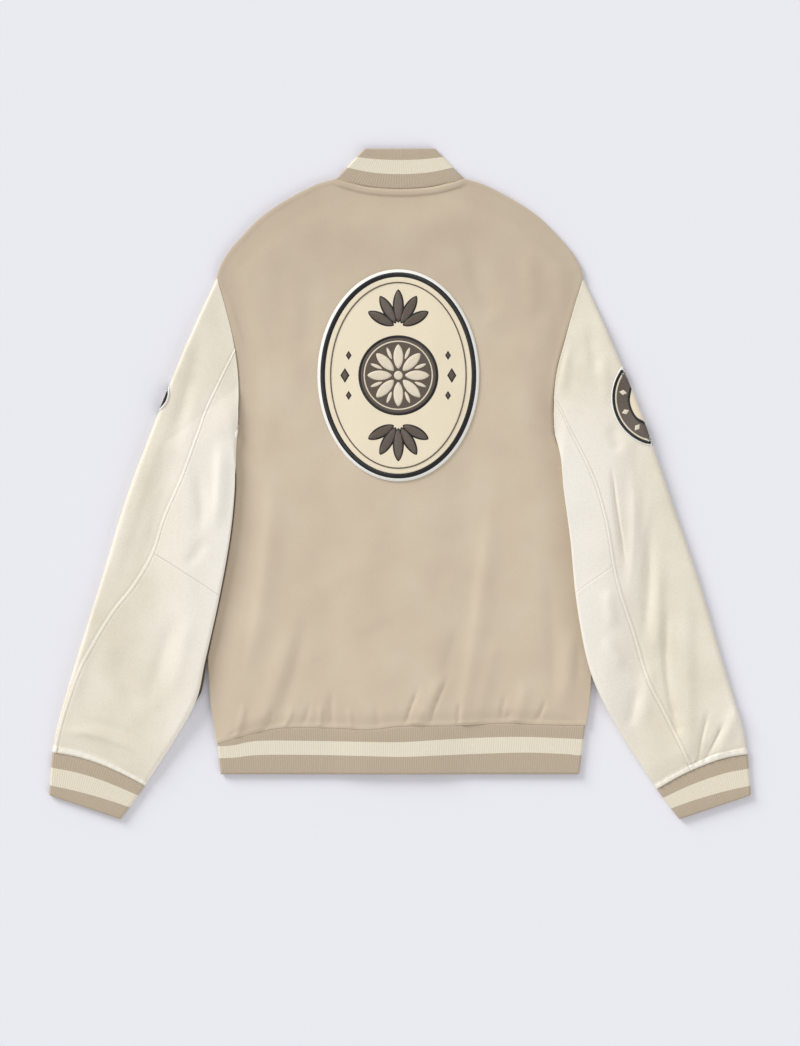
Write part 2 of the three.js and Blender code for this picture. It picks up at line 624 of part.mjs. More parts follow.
// Collar rib: one strip from the centre front, round the neck, to the centre front again
const collarSeam = moved(backNeckLine, HALF_GAP);
const collarEnd = straight({ x: -COLLAR_TOP.half, y: COLLAR_TOP.y }, { x: COLLAR_TOP.half, y: COLLAR_TOP.y });
function collarFront(side) {
  const sign = SIGN[side];
  const seam = moved(frontNeckLine(side), sign * -HALF_GAP);
  const end = halfCurve(COLLAR_FRONT, sign);
  const stations = steps(9, 0.03, 1).map((t) => {
    const p = seam.getPointAt(t);
    const fromCentre = Math.max(COLLAR_FRONT[3].half, sign * p.x);
    return flatStation({ x: sign * fromCentre, y: p.y }, end.getPointAt(t), false);
  });
  return { stations, lower: { seam: cornerOf(seam, 0), end: cornerOf(end, 0) } };
}
const collarUpper = (share) => ({ seam: cornerOf(collarSeam, share), end: cornerOf(collarEnd, share) });
const collarLeft = collarFront("left");
const collarRight = collarFront("right");
const collarStations = [
  ...collarLeft.stations.reverse(),
  ...foldStations(collarLeft.lower, collarUpper(0), true),
  ...ribStations(collarSeam, collarEnd, () => 0, RIB_MIDDLE),
  ...foldStations(collarRight.lower, collarUpper(1), false),
  ...collarRight.stations,
];
addPiece("collar_rib", band(collarStations, false), RIB_KNIT);

// Sleeves: s runs from the armhole to the cuff and w from the outer to the inner edge
function sleeveOf(side) {
  const sleeve = SLEEVES[side];
  const sign = SIGN[side];
  // The armhole from the shoulder down to where the sleeve's inner edge leaves it
  const wholeArmhole = armhole(side);
  const leaves = steps(200).find((t) => wholeArmhole.getPointAt(t).y >= sleeve.inner[0][1]);
  const armSeam = moved({ getPointAt: (t) => wholeArmhole.getPointAt(mix(1, leaves, t)) }, sign * HALF_GAP);
  const cuffSeam = moved(curve(sleeve.cuffSeam), side === "left" ? HALF_GAP : -HALF_GAP);
  const outerEdge = curve(sleeve.outer);
  const innerEdge = curve(sleeve.inner);
  const plan = spanned(armSeam, cuffSeam, outerEdge, innerEdge);
  const sideX = readTable(SIDE, "y", "half");
  const hook = { low: ARMHOLE[0], high: ARMHOLE[2] };
  const hookSlope = (hook.high.y - hook.low.y) / Math.abs(hook.high[side] - hook.low[side]);
  const folds = foldHeights(SLEEVE_FOLDS[side]);
  const patch = SLEEVE_PATCHES[side];
  const seamAt = readTable(sleeve.seam, "s", "w");
  // A layer's height: on the surface, but raised over the body's side and over the patch
  function layerFloor(x, y, down) {
    const beside = sign * x - sideX(y);
    const above = (y - hook.low.y - (Math.abs(hook.low[side]) - sign * x) * hookSlope) * 0.78;
    const raised = OVER_BODY * (1 - smooth(CLEAR_OF_BODY, down, Math.max(beside, above)));
    const fromPatch = Math.hypot(x - patchCentre.x, y - patchCentre.y) - patch.radius;
    return Math.max(raised, (PATCH_CLOTH + GAP) * (1 - smooth(42, 75, fromPatch)));
  }
  function hollow(s, x, y) {
    const open = mix(SEAM_HOLLOW, SLEEVE_HOLLOW, Math.min(smooth(0, 0.12, s), smooth(0, 0.06, 1 - s)));
    return Math.max(SEAM_HOLLOW - 0.2, open + folds(x, y) * smooth(0, 0.03, s) * smooth(-0.01, 0.02, 1 - s));
  }
  // A point on the sleeve at a depth inside its outer face: face 1 is above, -1 below
  function at(s, w, face, depth) {
    const o = outerEdge.getPointAt(s);
    const i = innerEdge.getPointAt(s);
    const width = Math.hypot(i.x - o.x, i.y - o.y);
    const across = depth + w * (width - 2 * depth);
    const p = plan(across / width, s);
    const radius = SLEEVE_EDGE_RADIUS - depth;
    const fromEdge = Math.min(w, 1 - w) * (width - 2 * depth);
    const round = fromEdge >= radius ? 1 : Math.sqrt(1 - (1 - fromEdge / radius) ** 2);
    const low = layerFloor(p.x, p.y, LOWER_LAYER_DOWN) + depth;
    const high = layerFloor(p.x, p.y, UPPER_LAYER_DOWN) - depth + 2 * SLEEVE_CLOTH + hollow(s, p.x, p.y);
    const middle = (low + high) / 2;
    return point(p.x, p.y, middle + face * round * ((high - low) / 2));
  }
  // The patch is folded over the outer edge, so its middle lies beyond that edge on one side of the fold
  // and as far inside it on the other
  const edgePoint = outerEdge.getPoints(80).reduce((a, b) =>
    (Math.abs(b.y - patch.edgeY) < Math.abs(a.y - patch.edgeY) ? b : a));
  const [[fromX, fromY], [toX, toY]] = sleeve.outer.slice(1, 3);
  const outward = new THREE.Vector2(fromY - toY, toX - fromX).normalize().multiplyScalar(sign * patch.beyondEdge);
  const patchCentre = edgePoint.clone().sub(outward);
  const topCentre = edgePoint.clone().add(outward);
  return { at, seamAt, patchCentre, topCentre, elbow: sleeve.elbow };
}

// Places round a flattened edge, closer together where it is round: {share of the width, face}
const EDGE_PLACES = [
  { degrees: 90, face: 1 },
  { degrees: 45, face: 1 },
  { degrees: 0, face: 0 },
  { degrees: 45, face: -1 },
  { degrees: 90, face: -1 },
];
const SLEEVE_WIDTH = 105; // about, for spacing the places round its edges
function roundEdge(atInner) {
  return EDGE_PLACES.map(({ degrees, face }) => {
    const reach = (SLEEVE_EDGE_RADIUS * (1 - Math.cos(THREE.MathUtils.degToRad(degrees)))) / SLEEVE_WIDTH;
    return { w: atInner ? 1 - reach : reach, face };
  });
}
const SEAM_SHARE = HALF_GAP / SLEEVE_WIDTH;
const SEAM_ALONG = HALF_GAP / 560; // half a seam gap as a share of the sleeve's length
const SLEEVE_STATIONS = [0, 0.02, 0.045, 0.07, 0.1, 0.14, 0.18, 0.23, 0.28, 0.33, 0.38, 0.5, 0.56, 0.62, 0.68,
  0.74, 0.8, 0.86, 0.92, 0.97, 1];

const UNDERSIDE_PLACES = [0.2, 0.36, 0.5, 0.62, 0.72, 0.82, UNDER_SEAM - SEAM_SHARE];

// The over sleeve: from the back seam over the outer edge and across the underside
function overSleeveGrid(sleeve, depth) {
  const edge = roundEdge(false);
  const stations = [...SLEEVE_STATIONS, sleeve.elbow].sort((a, b) => a - b);
  return stations.map((s) => {
    const seam = sleeve.seamAt(s) - SEAM_SHARE;
    const top = steps(7, seam, edge[0].w).slice(0, -1).map((w) => ({ w, face: 1 }));
    const below = UNDERSIDE_PLACES.map((w) => ({ w, face: -1 }));
    return [...top, ...edge, ...below].map(({ w, face }) => sleeve.at(s, w, face, depth));
  });
}
// The under sleeve, above or below its elbow seam: from the back seam round the inner edge
function underSleeveGrid(sleeve, isUpper, depth) {
  const edge = roundEdge(true);
  const own = SLEEVE_STATIONS.filter((s) => (isUpper ? s < sleeve.elbow : s > sleeve.elbow));
  const stations = isUpper ? [...own, sleeve.elbow - SEAM_ALONG] : [sleeve.elbow + SEAM_ALONG, ...own];
  return stations.map((s) => {
    const top = steps(7, sleeve.seamAt(s) + SEAM_SHARE, edge[0].w).slice(0, -1).map((w) => ({ w, face: 1 }));
    const places = [...top, ...edge, { w: UNDER_SEAM + SEAM_SHARE, face: -1 }];
    return places.map(({ w, face }) => sleeve.at(s, w, face, depth));
  });
}
["left", "right"].forEach((side) => {
  const sleeve = sleeveOf(side);
  const sheet = (grid) => wall(grid(0), grid(SLEEVE_CLOTH));
  addPiece(`sleeve_${side}_over`, sheet((depth) => overSleeveGrid(sleeve, depth)), LEATHER);
  addPiece(`sleeve_${side}_under_upper`, sheet((depth) => underSleeveGrid(sleeve, true, depth)), LEATHER);
  addPiece(`sleeve_${side}_under_lower`, sheet((depth) => underSleeveGrid(sleeve, false, depth)), LEATHER);

  // The sleeve's patch is a skin on the over sleeve, trimmed round on both sides of the fold
  const patch = SLEEVE_PATCHES[side];
  const skin = toSolid(wall(overSleeveGrid(sleeve, -GAP - PATCH_CLOTH), overSleeveGrid(sleeve, -GAP)));
  const middle = BODY_CLOTH + 1;
  const trim = (centre, low, high) =>
    skin.intersect(uprightOval(centre.x, centre.y, patch.radius, patch.radius, low, high, patch.facets));
  const folded = trim(sleeve.topCentre, middle, 40).add(trim(sleeve.patchCentre, -10, middle));
  addPiece(`sleeve_patch_${side}`, toGeometry(folded), PATCH_BROWN);
});

// The back patch lies on the back panel, cut as an upright oval
const patchColumns = BACK_COLUMNS.filter((u) => u > 0.2 && u < 0.8);
const patchRows = BACK_ROWS.filter((v) => v > 0.3 && v < 0.92);
const patchSkin = (offset) => patchRows.map((v) => patchColumns.map((u) => {
  const p = backPlan(u, v);
  return point(p.x, p.y, backTop(p.x, p.y) + offset);
}));
const patchOval = uprightOval(BACK_PATCH.x, BACK_PATCH.y, BACK_PATCH.halfWidth, BACK_PATCH.halfHeight, -5, 60,
  BACK_PATCH.facets);
const patchSheet = toSolid(wall(patchSkin(GAP + PATCH_CLOTH), patchSkin(GAP)));
addPiece("back_patch", toGeometry(patchSheet.intersect(patchOval)), PATCH_FELT);

// Snap caps down the placket and one on the hem rib, pressed flush into the cloth that they lie on
snapPlaces.forEach((y, i) => {
  const profile = [[0, 0], [SNAP.radius - 0.4, 0], [SNAP.radius, 0.4], [SNAP.radius - 0.8, SNAP.thickness],
    [0, SNAP.thickness]].map(([r, h]) => new THREE.Vector2(r, h));
  const cap = new THREE.LatheGeometry(profile, SNAP.facets);
  cap.rotateX(Math.PI / 2);
  cap.translate(0, y, 0);
  addPiece(`snap_${i + 1}`, toGeometry(toSolid(cap)), SNAP_METAL);
});

export default jacket;
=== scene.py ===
import bmesh
import bpy
import numpy as np
from mathutils import Matrix, Vector


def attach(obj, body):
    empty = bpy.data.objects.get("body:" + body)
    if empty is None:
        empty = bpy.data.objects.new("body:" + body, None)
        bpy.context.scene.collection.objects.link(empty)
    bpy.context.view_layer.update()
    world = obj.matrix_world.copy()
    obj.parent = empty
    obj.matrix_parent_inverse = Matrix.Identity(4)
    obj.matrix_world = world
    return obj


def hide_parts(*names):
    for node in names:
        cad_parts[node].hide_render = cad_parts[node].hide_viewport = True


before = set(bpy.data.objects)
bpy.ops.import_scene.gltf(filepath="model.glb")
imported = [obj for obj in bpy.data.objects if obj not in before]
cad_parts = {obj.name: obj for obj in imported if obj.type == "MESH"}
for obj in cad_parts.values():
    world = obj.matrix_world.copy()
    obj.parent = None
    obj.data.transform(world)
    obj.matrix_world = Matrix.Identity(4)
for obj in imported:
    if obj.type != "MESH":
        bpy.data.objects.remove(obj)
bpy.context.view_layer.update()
MM = 0.001
SIGN = {"left": -1, "right": 1}

# The back: one piece of thick wool melton from the hem seam to the shoulders, laid face up over the two
# fronts. It stands a little off them, and hangs in soft folds that gather into the hem.
BODY_CLOTH = 2.5
BODY_SHELL = 1.7
GAP = 0.3
HALF_GAP = 0.06
BODY_EDGE_TOP = 2 * BODY_CLOTH + GAP
BODY_PUFF = 3.2
BODY_PUFF_WIDTH = 40
OVERLAP_TO = 34
LEVEL_FROM = 90
UNDERARM_Y = 24
SHOULDER_TIP_Y = 247
NECK_TIP_X, NECK_TIP_Y = 76.5, 366
HEM_LEVEL = -290
SIDE = [(-283, 224), (-247, 228.5), (-139, 233), (-43, 236), (24, 238)]
ARMHOLE = {
    "left": [(-238, 24), (-210, 35), (-197, 56), (-193.5, 98), (-194.5, 135), (-200, 173), (-209.5, 212),
             (-219.5, 247)],
    "right": [(238, 24), (200, 35), (186.5, 56), (184.5, 98), (188, 135), (198, 173), (209, 212), (220, 247)],
}
SHOULDER = [(219.7, 247), (215, 262), (203.5, 281), (186.5, 300), (167.5, 319), (140.5, 338), (102.5, 358),
            (76.5, 366)]
BACK_NECK = [(76.5, 366), (40, 356.5), (0, 353.5)]
HEM_SEAM = [(-219, -312), (-186, -302), (-143, -293), (-78, -293), (-38, -295), (5, -290.5), (70, -290),
            (126, -287), (169, -289), (222, -290)]
SLEEVE_INNER = {
    "left": [(-197, 56), (-198.5, 29), (-198, -7), (-204, -67), (-217, -139), (-233, -211), (-244, -259),
             (-270, -307), (-306, -362)],
    "right": [(186.5, 56), (193, 29), (196, -7), (204, -67), (211, -139), (224, -211), (242, -259),
              (269, -307), (308, -366)],
}
# Each fold: the places that it runs from, through and to, its half width, its height (a trough is negative),
# its lean (the left flank is wider where positive), and 1 where it runs into the seam at its last place
BODY_FOLDS = [
    (-150, 40, -163, -110, -186, -240, 10.8, 2.3, 0.3),
    (-176, 20, -181, -80, -200, -200, 14.4, -1.6, 0.2),
    (-118, 248, -126, 160, -134, 70, 15.6, 1),
    (-104, 260, -112, 200, -122, 140, 14.4, -1.3),
    (-110, -150, -129, -235, -152, -288, 8, -1.3, 0.2, 1),
    (-122, -140, -146, -232, -170, -290, 10.5, 1.8, -0.2, 1),
    (-82, -246, -82, -268, -82, -290, 4, -1.7, -0.2, 1),
    (-94, -262, -95, -276, -96, -291, 2.5, 1.4, 0, 1),
    (-108, -262, -112, -277, -117, -292, 2.5, -1.4, 0, 1),
    (-128, -266, -133, -280, -139, -292, 2.5, 1.4, 0, 1),
    (-150, -268, -156, -281, -162, -297, 2.5, -1.4, 0, 1),
    (-186, -262, -190, -282, -196, -304, 3.7, 1.6, 0, 1),
    (-62, -268, -60, -280, -58, -294, 3.1, 1, 0, 1),
    (-30, -262, -27, -278, -25, -294, 3.7, -0.9, 0, 1),
    (6, -163, -26, -176, -60, -193, 10.8, -0.7, 0.3),
    (36, -236, 24, -264, 16, -288, 8.4, 1, 0, 1),
    (72, -160, 60, -205, 46, -246, 8.4, -1, 0.2),
    (56, -215, 38, -255, 22, -286, 7.2, 1.4, 0.2, 1),
    (60, -226, 43, -260, 34, -289, 2.1, -1.9, 0.5, 1),
    (24, -238, 12, -267, 4, -290, 2.1, -1.9, 0.5, 1),
    (114, 10, 95, -150, 74, -286, 11.4, 2.5, 0.25, 1),
    (71, -262, 69, -275, 69, -289, 2.2, -2, 0.3, 1),
    (118, -175, 104, -235, 92, -286, 9.6, 1.4, 0, 1),
    (127, -250, 123, -268, 121, -286, 2.6, -1.3, 0, 1),
    (130, -272, 129, -280, 128, -288, 2.5, -1.3, 0, 1),
    (152, -230, 146, -262, 140, -286, 8.4, 1.5, 0, 1),
    (175, -258, 169, -272, 161, -288, 2.4, -1.9, 0, 1),
    (174, -60, 184, -180, 188, -280, 12, -1.9, 0.2),
    (206, -170, 201, -220, 197, -270, 9.6, 1.6),
    (217, -170, 215, -210, 211, -246, 4.8, -0.9),
    (-102, -70, -98, -98, -93, -126, 10.8, -0.6),
    (48, -92, 46, -118, 41, -144, 10.8, -0.6),
    (78, -20, 79, -60, 77, -104, 12, -0.6),
    (78, 306, 96, 234, 110, 196, 12, -1.5, 0.2),
    (110, 200, 142, 164, 182, 124, 12, -1.1, 0.2),
    (60, 300, 76, 245, 84, 200, 14.4, 1.3),
    (168, 285, 172, 230, 170, 180, 13.2, -1.4),
    (150, 294, 158, 240, 166, 200, 12, 1.5),
    (180, 262, 186, 212, 196, 166, 8.4, -1),
    (-206, 184, -199, 158, -190, 128, 8.4, -0.9),
    (-210, 236, -198, 196, -184, 150, 2.5, 1.2),
    (-150, 300, -158, 240, -160, 186, 16.8, 0.9),
    (-60, 330, -70, 290, -76, 250, 16.8, 0.8),
]


def smooth(low, high, value):
    t = np.clip((value - low) / (high - low), 0, 1)
    return t * t * (3 - 2 * t)


def mix(a, b, t):
    return a + (b - a) * t


def hump(distance, width):
    return np.exp(-((distance / width) ** 2))


def unit(vector):
    return vector / np.linalg.norm(vector, axis=-1, keepdims=True)


def spline(points, t):
    """Places on a smooth curve through the points, with t from 0 to 1"""
    last = len(points) - 1
    step = np.clip(np.asarray(t, float), 0, 1) * last
    i = np.minimum(step.astype(int), last - 1)
    w = (step - i)[..., None]
    p0, p1, p2, p3 = (points[np.clip(i + k, 0, last)] for k in (-1, 0, 1, 2))
    v0, v1 = (p2 - p0) / 2, (p3 - p1) / 2
    return (2 * p1 - 2 * p2 + v0 + v1) * w**3 + (3 * p2 - 3 * p1 - 2 * v0 - v1) * w**2 + v0 * w + p1


def curve(pairs):
    """A smooth curve through the pairs, read by share of its length"""
    points = np.array(pairs, float)
    even = np.linspace(0, 1, 201)
    lengths = np.r_[0, np.cumsum(np.linalg.norm(np.diff(spline(points, even), axis=0), axis=1))]
    return lambda share: spline(points, np.interp(np.clip(share, 0, 1) * lengths[-1], lengths, even))


def beside(path, distance):
    """The curve moved sideways, to the left of its own direction"""
    def at(share):
        t = np.clip(share, 0, 1)
        step = path(np.clip(t + 0.002, 0, 1)) - path(np.clip(t - 0.002, 0, 1))
        return path(t) + distance * unit(np.stack([-step[..., 1], step[..., 0]], -1))
    return at


def spanned(bottom, top, left, right):
    """A plan patch spanned by its four edges: bottom and top run along u, left and right along v"""
    def at(u, v):
        u, v = (np.asarray(value, float)[..., None] for value in (u, v))
        edges = (1 - v) * bottom(u[..., 0]) + v * top(u[..., 0])
        edges = edges + (1 - u) * left(v[..., 0]) + u * right(v[..., 0])
        low = (1 - u) * bottom(0.0) + u * bottom(1.0)
        high = (1 - u) * top(0.0) + u * top(1.0)
        return edges - (1 - v) * low - v * high
    return at


def table(pairs):
    """The height of a smooth curve through the pairs, read by its first number"""
    drawn = spline(np.array(sorted(pairs), float), np.linspace(0, 1, 12 * len(pairs) + 1))
    drawn = drawn[np.argsort(drawn[:, 0])]
    return lambda place: np.interp(place, drawn[:, 0], drawn[:, 1])


def nearest_on(line, x, y):
    """How far each place is from a line of points, how far along the line that is, and on which side"""
    nearest = np.full(x.shape, np.inf)
    along = np.zeros(x.shape)
    is_left = np.zeros(x.shape, bool)
    for i in range(len(line) - 1):
        (ax, ay), (dx, dy) = line[i], line[i + 1] - line[i]
        share = np.clip(((x - ax) * dx + (y - ay) * dy) / (dx * dx + dy * dy), 0, 1)
        off_x, off_y = x - ax - share * dx, y - ay - share * dy
        distance = np.hypot(off_x, off_y)
        closer = distance < nearest
        nearest = np.where(closer, distance, nearest)
        along = np.where(closer, (i + share) / (len(line) - 1), along)
        is_left = np.where(closer, dx * off_y - dy * off_x > 0, is_left)
    return nearest, along, is_left


def distance_to(line, x, y):
    return nearest_on(line, x, y)[0]


def fold_heights(folds, x, y):
    """The height that a table of folds adds at each place"""
    total = np.zeros_like(x)
    t = np.linspace(0, 1, 15)[:, None]
    for fold in folds:
        a, b, c = np.array(fold[:6], float).reshape(3, 2)
        width, height, lean, into_seam = (*fold[6:], 0, 0)[:4]
        control = 2 * b - (a + c) / 2
        path = (1 - t) ** 2 * a + 2 * t * (1 - t) * control + t * t * c
        nearest, along, is_left = nearest_on(path, x, y)
        reach = width * np.where(is_left, 1 + lean, 1 - lean)
        fade = smooth(0, 0.35, along) * (1 if into_seam else smooth(0, 0.3, 1 - along))
        total += height * fade * hump(nearest, reach)
    return total


def unevenness(x, y, size):
    """The slight waves that soft cloth always has"""
    waves = [(0.071, 0.043, 0.4), (-0.052, 0.088, 1.7), (0.113, -0.031, 2.9), (0.029, 0.121, 4.1)]
    return size * sum(np.sin(a * x + b * y + shift) for a, b, shift in waves) / len(waves)


def edge_roll(distance):
    """A sewn edge: turned down into the seam, and raised a little beside it"""
    return 0.35 * hump(distance - 3.4, 2.2) - 0.35 * hump(distance, 0.9)


def crowd(t, share, edge):
    """Draws grid lines together: the given share of them at each end lies within that edge"""
    return np.interp(t, [0, share, 1 - share, 1], [0, edge, 1 - edge, 1])


def finish_piece(name, bm, material, thickness=0.0):
    mesh = bpy.data.meshes.new(name)
    bm.to_mesh(mesh)
    bm.free()
    mesh.shade_smooth()
    mesh.materials.append(material)
    piece = bpy.data.objects.new(name, mesh)
    bpy.context.scene.collection.objects.link(piece)
    if thickness:
        solid = piece.modifiers.new("Thickness", "SOLIDIFY")
        solid.thickness = thickness * MM
        solid.offset = -1
    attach(piece, "root")
    return piece


def cloth(name, columns, rows, shape, material, thickness, closed=False):
    """A fine grid of cloth, moved to the place that shape gives for u and v in millimetres"""
    bm = bmesh.new()
    bm.loops.layers.uv.new("UVMap")
    bmesh.ops.create_grid(bm, x_segments=columns, y_segments=rows, size=0.5, calc_uvs=True)
    flat = np.array([vert.co[:2] for vert in bm.verts]) + 0.5
    for vert, place in zip(bm.verts, shape(flat[:, 0], flat[:, 1]) * MM):
        vert.co = place
    if closed:
        bmesh.ops.remove_doubles(bm, verts=bm.verts, dist=0.01 * MM)
    return finish_piece(name, bm, material, thickness)


def grid_of(piece):
    """The u and v of each point of a grid of cloth"""
    grid = np.zeros((len(piece.data.vertices), 2))
    uv_map = piece.data.uv_layers["UVMap"].data
    for loop in piece.data.loops:
        grid[loop.vertex_index] = uv_map[loop.index].uv
    return grid.T


def linear(code):
    """A colour from its usual six-figure code"""
    values = [int(code[i:i + 2], 16) / 255 for i in (1, 3, 5)]
    return [v / 12.92 if v <= 0.04045 else ((v + 0.055) / 1.055) ** 2.4 for v in values] + [1]


def add_node(tree, kind, inputs=None, **settings):
    """Adds a node; an input given as a socket is linked and any other is set"""
    made = tree.nodes.new(kind)
    for key, value in settings.items():
        setattr(made, key, value)
    for key, value in (inputs or {}).items():
        if isinstance(value, bpy.types.NodeSocket):
            tree.links.new(value, made.inputs[key])
        else:
            made.inputs[key].default_value = value
    return made


def new_material(name, **sockets):
    made = bpy.data.materials.new(name)
    made.use_nodes = True
    tree = made.node_tree
    shader = tree.nodes["Principled BSDF"]
    for key, value in sockets.items():
        shader.inputs[key.replace("_", " ")].default_value = value
    place = add_node(tree, "ShaderNodeTexCoord").outputs["Object"]
    return made, tree, shader, place


def noise(tree, place, scale, detail=3.0, roughness=0.5):
    return add_node(tree, "ShaderNodeTexNoise", {"Vector": place, "Scale": scale, "Detail": detail,
                                                  "Roughness": roughness}).outputs["Fac"]


def ramp(tree, factor, low, high):
    """Stretches a factor from low to high over the whole range"""
    sockets = {"Value": factor, "From Min": low, "From Max": high}
    return add_node(tree, "ShaderNodeMapRange", sockets).outputs[0]


def spread(tree, factor, low, high):
    """Brings a factor into the range from low to high"""
    sockets = {"Value": factor, "To Min": low, "To Max": high}
    return add_node(tree, "ShaderNodeMapRange", sockets).outputs[0]


def attribute(tree, name, output="Fac"):
    """The value that each point of a piece carries under this name"""
    return add_node(tree, "ShaderNodeAttribute", attribute_name=name).outputs[output]


def blend(tree, factor, first, second, kind="MIX"):
    made = add_node(tree, "ShaderNodeMix", data_type="RGBA", blend_type=kind)
    for socket, value in zip((made.inputs[0], made.inputs[6], made.inputs[7]), (factor, first, second)):
        if isinstance(value, bpy.types.NodeSocket):
            tree.links.new(value, socket)
        else:
            socket.default_value = value
    return made.outputs[2]


def paint(tree, shader, colour):
    tree.links.new(colour, shader.inputs["Base Color"])


def add_bump(tree, shader, height, distance, strength=1.0):
    made = add_node(tree, "ShaderNodeBump", {"Height": height, "Distance": distance, "Strength": strength})
    tree.links.new(made.outputs[0], shader.inputs["Normal"])


def wool_material(name, dark, light):
    """Felted wool: a short nap of fine fibres over soft cloudy patches, with painted shade beside the seams,
    along the sleeves' inner edges and towards the shoulders
    """
    made, tree, shader, place = new_material(name, Roughness=0.94, Sheen_Weight=0.22, Sheen_Roughness=0.55,
                                             Specular_IOR_Level=0.2)
    nap = noise(tree, place, 1700, 4, 0.65)
    cloud = noise(tree, place, 16, 3, 0.5)
    stretched = add_node(tree, "ShaderNodeMapping", {"Vector": place, "Scale": (1, 0.35, 1)}).outputs[0]
    fibre = noise(tree, stretched, 900, 3, 0.6)
    base = blend(tree, ramp(tree, cloud, 0.3, 0.7), linear(dark), linear(light))
    tone = blend(tree, ramp(tree, nap, 0.3, 0.7), (0.86, 0.86, 0.86, 1), (1, 1, 1, 1))
    # painted shade: the wool is multiplied darker where the piece carries its shade value
    tone = blend(tree, attribute(tree, "painted_shade"), tone, (0.87, 0.86, 0.85, 1), "MULTIPLY")
    paint(tree, shader, blend(tree, 1.0, base, tone, "MULTIPLY"))
    add_bump(tree, shader, blend(tree, 0.5, nap, fibre), 0.0003, 0.55)
    return made


hem_y = table(HEM_SEAM)
side_x = table(SIDE)
top_half = table(BACK_NECK[1:] + SHOULDER)


def visible_side(side):
    """Where the part of the back that shows ends: at the sleeve's inner edge, or at the armhole"""
    below = [(y, SIGN[side] * half) for y, half in SIDE if y < -240]
    middle = [(y, x) for x, y in SLEEVE_INNER[side] if -215 < y < 50]
    above = [(y, x) for x, y in ARMHOLE[side] if y > 50]
    return table(below + middle + above)


visible = {side: visible_side(side) for side in SIGN}


def over_overlap(x, thickness):
    """How far the upper cloth is lifted along the centre, where two fronts lie beneath it"""
    return (thickness + GAP) * (1 - smooth(OVERLAP_TO, LEVEL_FROM, np.abs(x)))


def back_top(x, y):
    """The height of the back's upper face"""
    from_sides = np.minimum(x - visible["left"](y), visible["right"](y) - x)
    inside = np.minimum.reduce([from_sides, 0.8 * (top_half(np.abs(x)) - y), 2 * (y - hem_y(x))])
    lift = BODY_PUFF * smooth(0, BODY_PUFF_WIDTH, inside) + unevenness(x, y, 0.4) * smooth(6, 40, inside)
    lift = lift + fold_heights(BODY_FOLDS, x, y) * smooth(0, 8, inside)
    overlap = over_overlap(x, BODY_CLOTH) * (1 - smooth(300, 345, y))
    return BODY_EDGE_TOP + overlap + (lift + np.sqrt(lift * lift + 0.3)) / 2


def half_width(side):
    """The body's half width at each height: its side, then the armhole, then the shoulder"""
    corner_x, corner_y = HEM_SEAM[0] if side == "left" else HEM_SEAM[-1]
    low = table([(corner_y, abs(corner_x))] + SIDE)
    middle = table([(y, abs(x)) for x, y in ARMHOLE[side]])
    high = table([(y, half) for half, y in SHOULDER])
    return lambda y: np.where(y < UNDERARM_Y, low(y), np.where(y < SHOULDER_TIP_Y, middle(y), high(y)))


def body_levels(side, v):
    """Heights of a body panel's rows at its middle and at its side, which follow the hem's curve below"""
    corner_y = HEM_SEAM[0][1] if side == "left" else HEM_SEAM[-1][1]
    level = np.interp(v, [0, 0.5, 1], [HEM_LEVEL, UNDERARM_Y, NECK_TIP_Y])
    near_hem = 1 - smooth(0, 0.2, v)
    return level, near_hem, level + (corner_y - HEM_LEVEL) * near_hem


neck_line = curve([(-half, y) for half, y in BACK_NECK] + [(half, y) for half, y in BACK_NECK[1::-1]])
share = np.linspace(0, 1, 80)
armhole_lines = [curve(ARMHOLE[side])(share) for side in SIGN]
shoulder_lines = [curve([(sign * half, y) for half, y in SHOULDER])(share) for sign in SIGN.values()]
hem_line = curve(HEM_SEAM)(share)


def back_shape(u, v):
    u = crowd(u, 0.03, 0.009)
    v = crowd(v, 0.065, 0.018)
    level, near_hem, left_y = body_levels("left", v)
    right_y = body_levels("right", v)[2]
    x = mix(-half_width("left")(left_y), half_width("right")(right_y), u)
    dip = NECK_TIP_Y - top_half(np.minimum(np.abs(x), NECK_TIP_X))
    y = level + (hem_y(x) + HALF_GAP - HEM_LEVEL) * near_hem - dip * smooth(0.85, 1, v)
    seams = [distance_to(line, x, y) for line in [*armhole_lines, *shoulder_lines, hem_line]]
    from_neck = distance_to(neck_line(share), x, y)
    z = back_top(x, y) + edge_roll(np.minimum.reduce([*seams, from_neck]))
    z = z + 1.6 * smooth(0.6, 1.8, from_neck) * smooth(8.4, 6.8, from_neck) * smooth(84, 70, np.abs(x))
    return np.stack([x, y, z], -1)


def give_values(piece, name, kind, field, values):
    """Stores a value at each point, for the material to read"""
    piece.data.attributes.new(name, kind, "POINT").data.foreach_set(field, values)


MELTON = wool_material("melton_wool", "#d1bfa7", "#d7c7af")
back = cloth("back_panel_cloth", 200, 190, back_shape, MELTON, BODY_SHELL)
places = np.array([vert.co[:2] for vert in back.data.vertices]) / MM
# Painted shade on the wool: darker within 34 mm of the armholes, shoulder seams and sleeves' inner edges, and
# towards the shoulders
sleeve_edges = [curve(SLEEVE_INNER[side])(share) for side in SIGN]
shade_along = [*armhole_lines, *shoulder_lines, *sleeve_edges]
from_seam = np.minimum.reduce([distance_to(line, *places.T) for line in shade_along])
shoulder_shade = 0.75 * smooth(110, 330, places[:, 1])
give_values(back, "painted_shade", "FLOAT", "value", np.clip(0.75 * smooth(34, 4, from_seam) + shoulder_shade, 0, 1))
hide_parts("back_panel")


# The fronts: the same wool, cut like the back with a deep neckline, lying flat on the surface. The left one
# passes over the right one at the centre, where the snaps are.
FRONT_NECK = [(76.5, 366), (67, 332), (42, 303), (0, 290)]
FRONT_LENGTH = 640
PLACKET_REACH = 14
STEP_FROM = 20
SNAP_PLACES = [262, 157, 52, -53, -158, -263, -326]
SNAP_RADIUS = 7.5


def step_down(x, thickness):
    """How far the right front is lifted over the left one's edge"""
    return (thickness + GAP) * (1 - smooth(STEP_FROM, OVERLAP_TO, x))


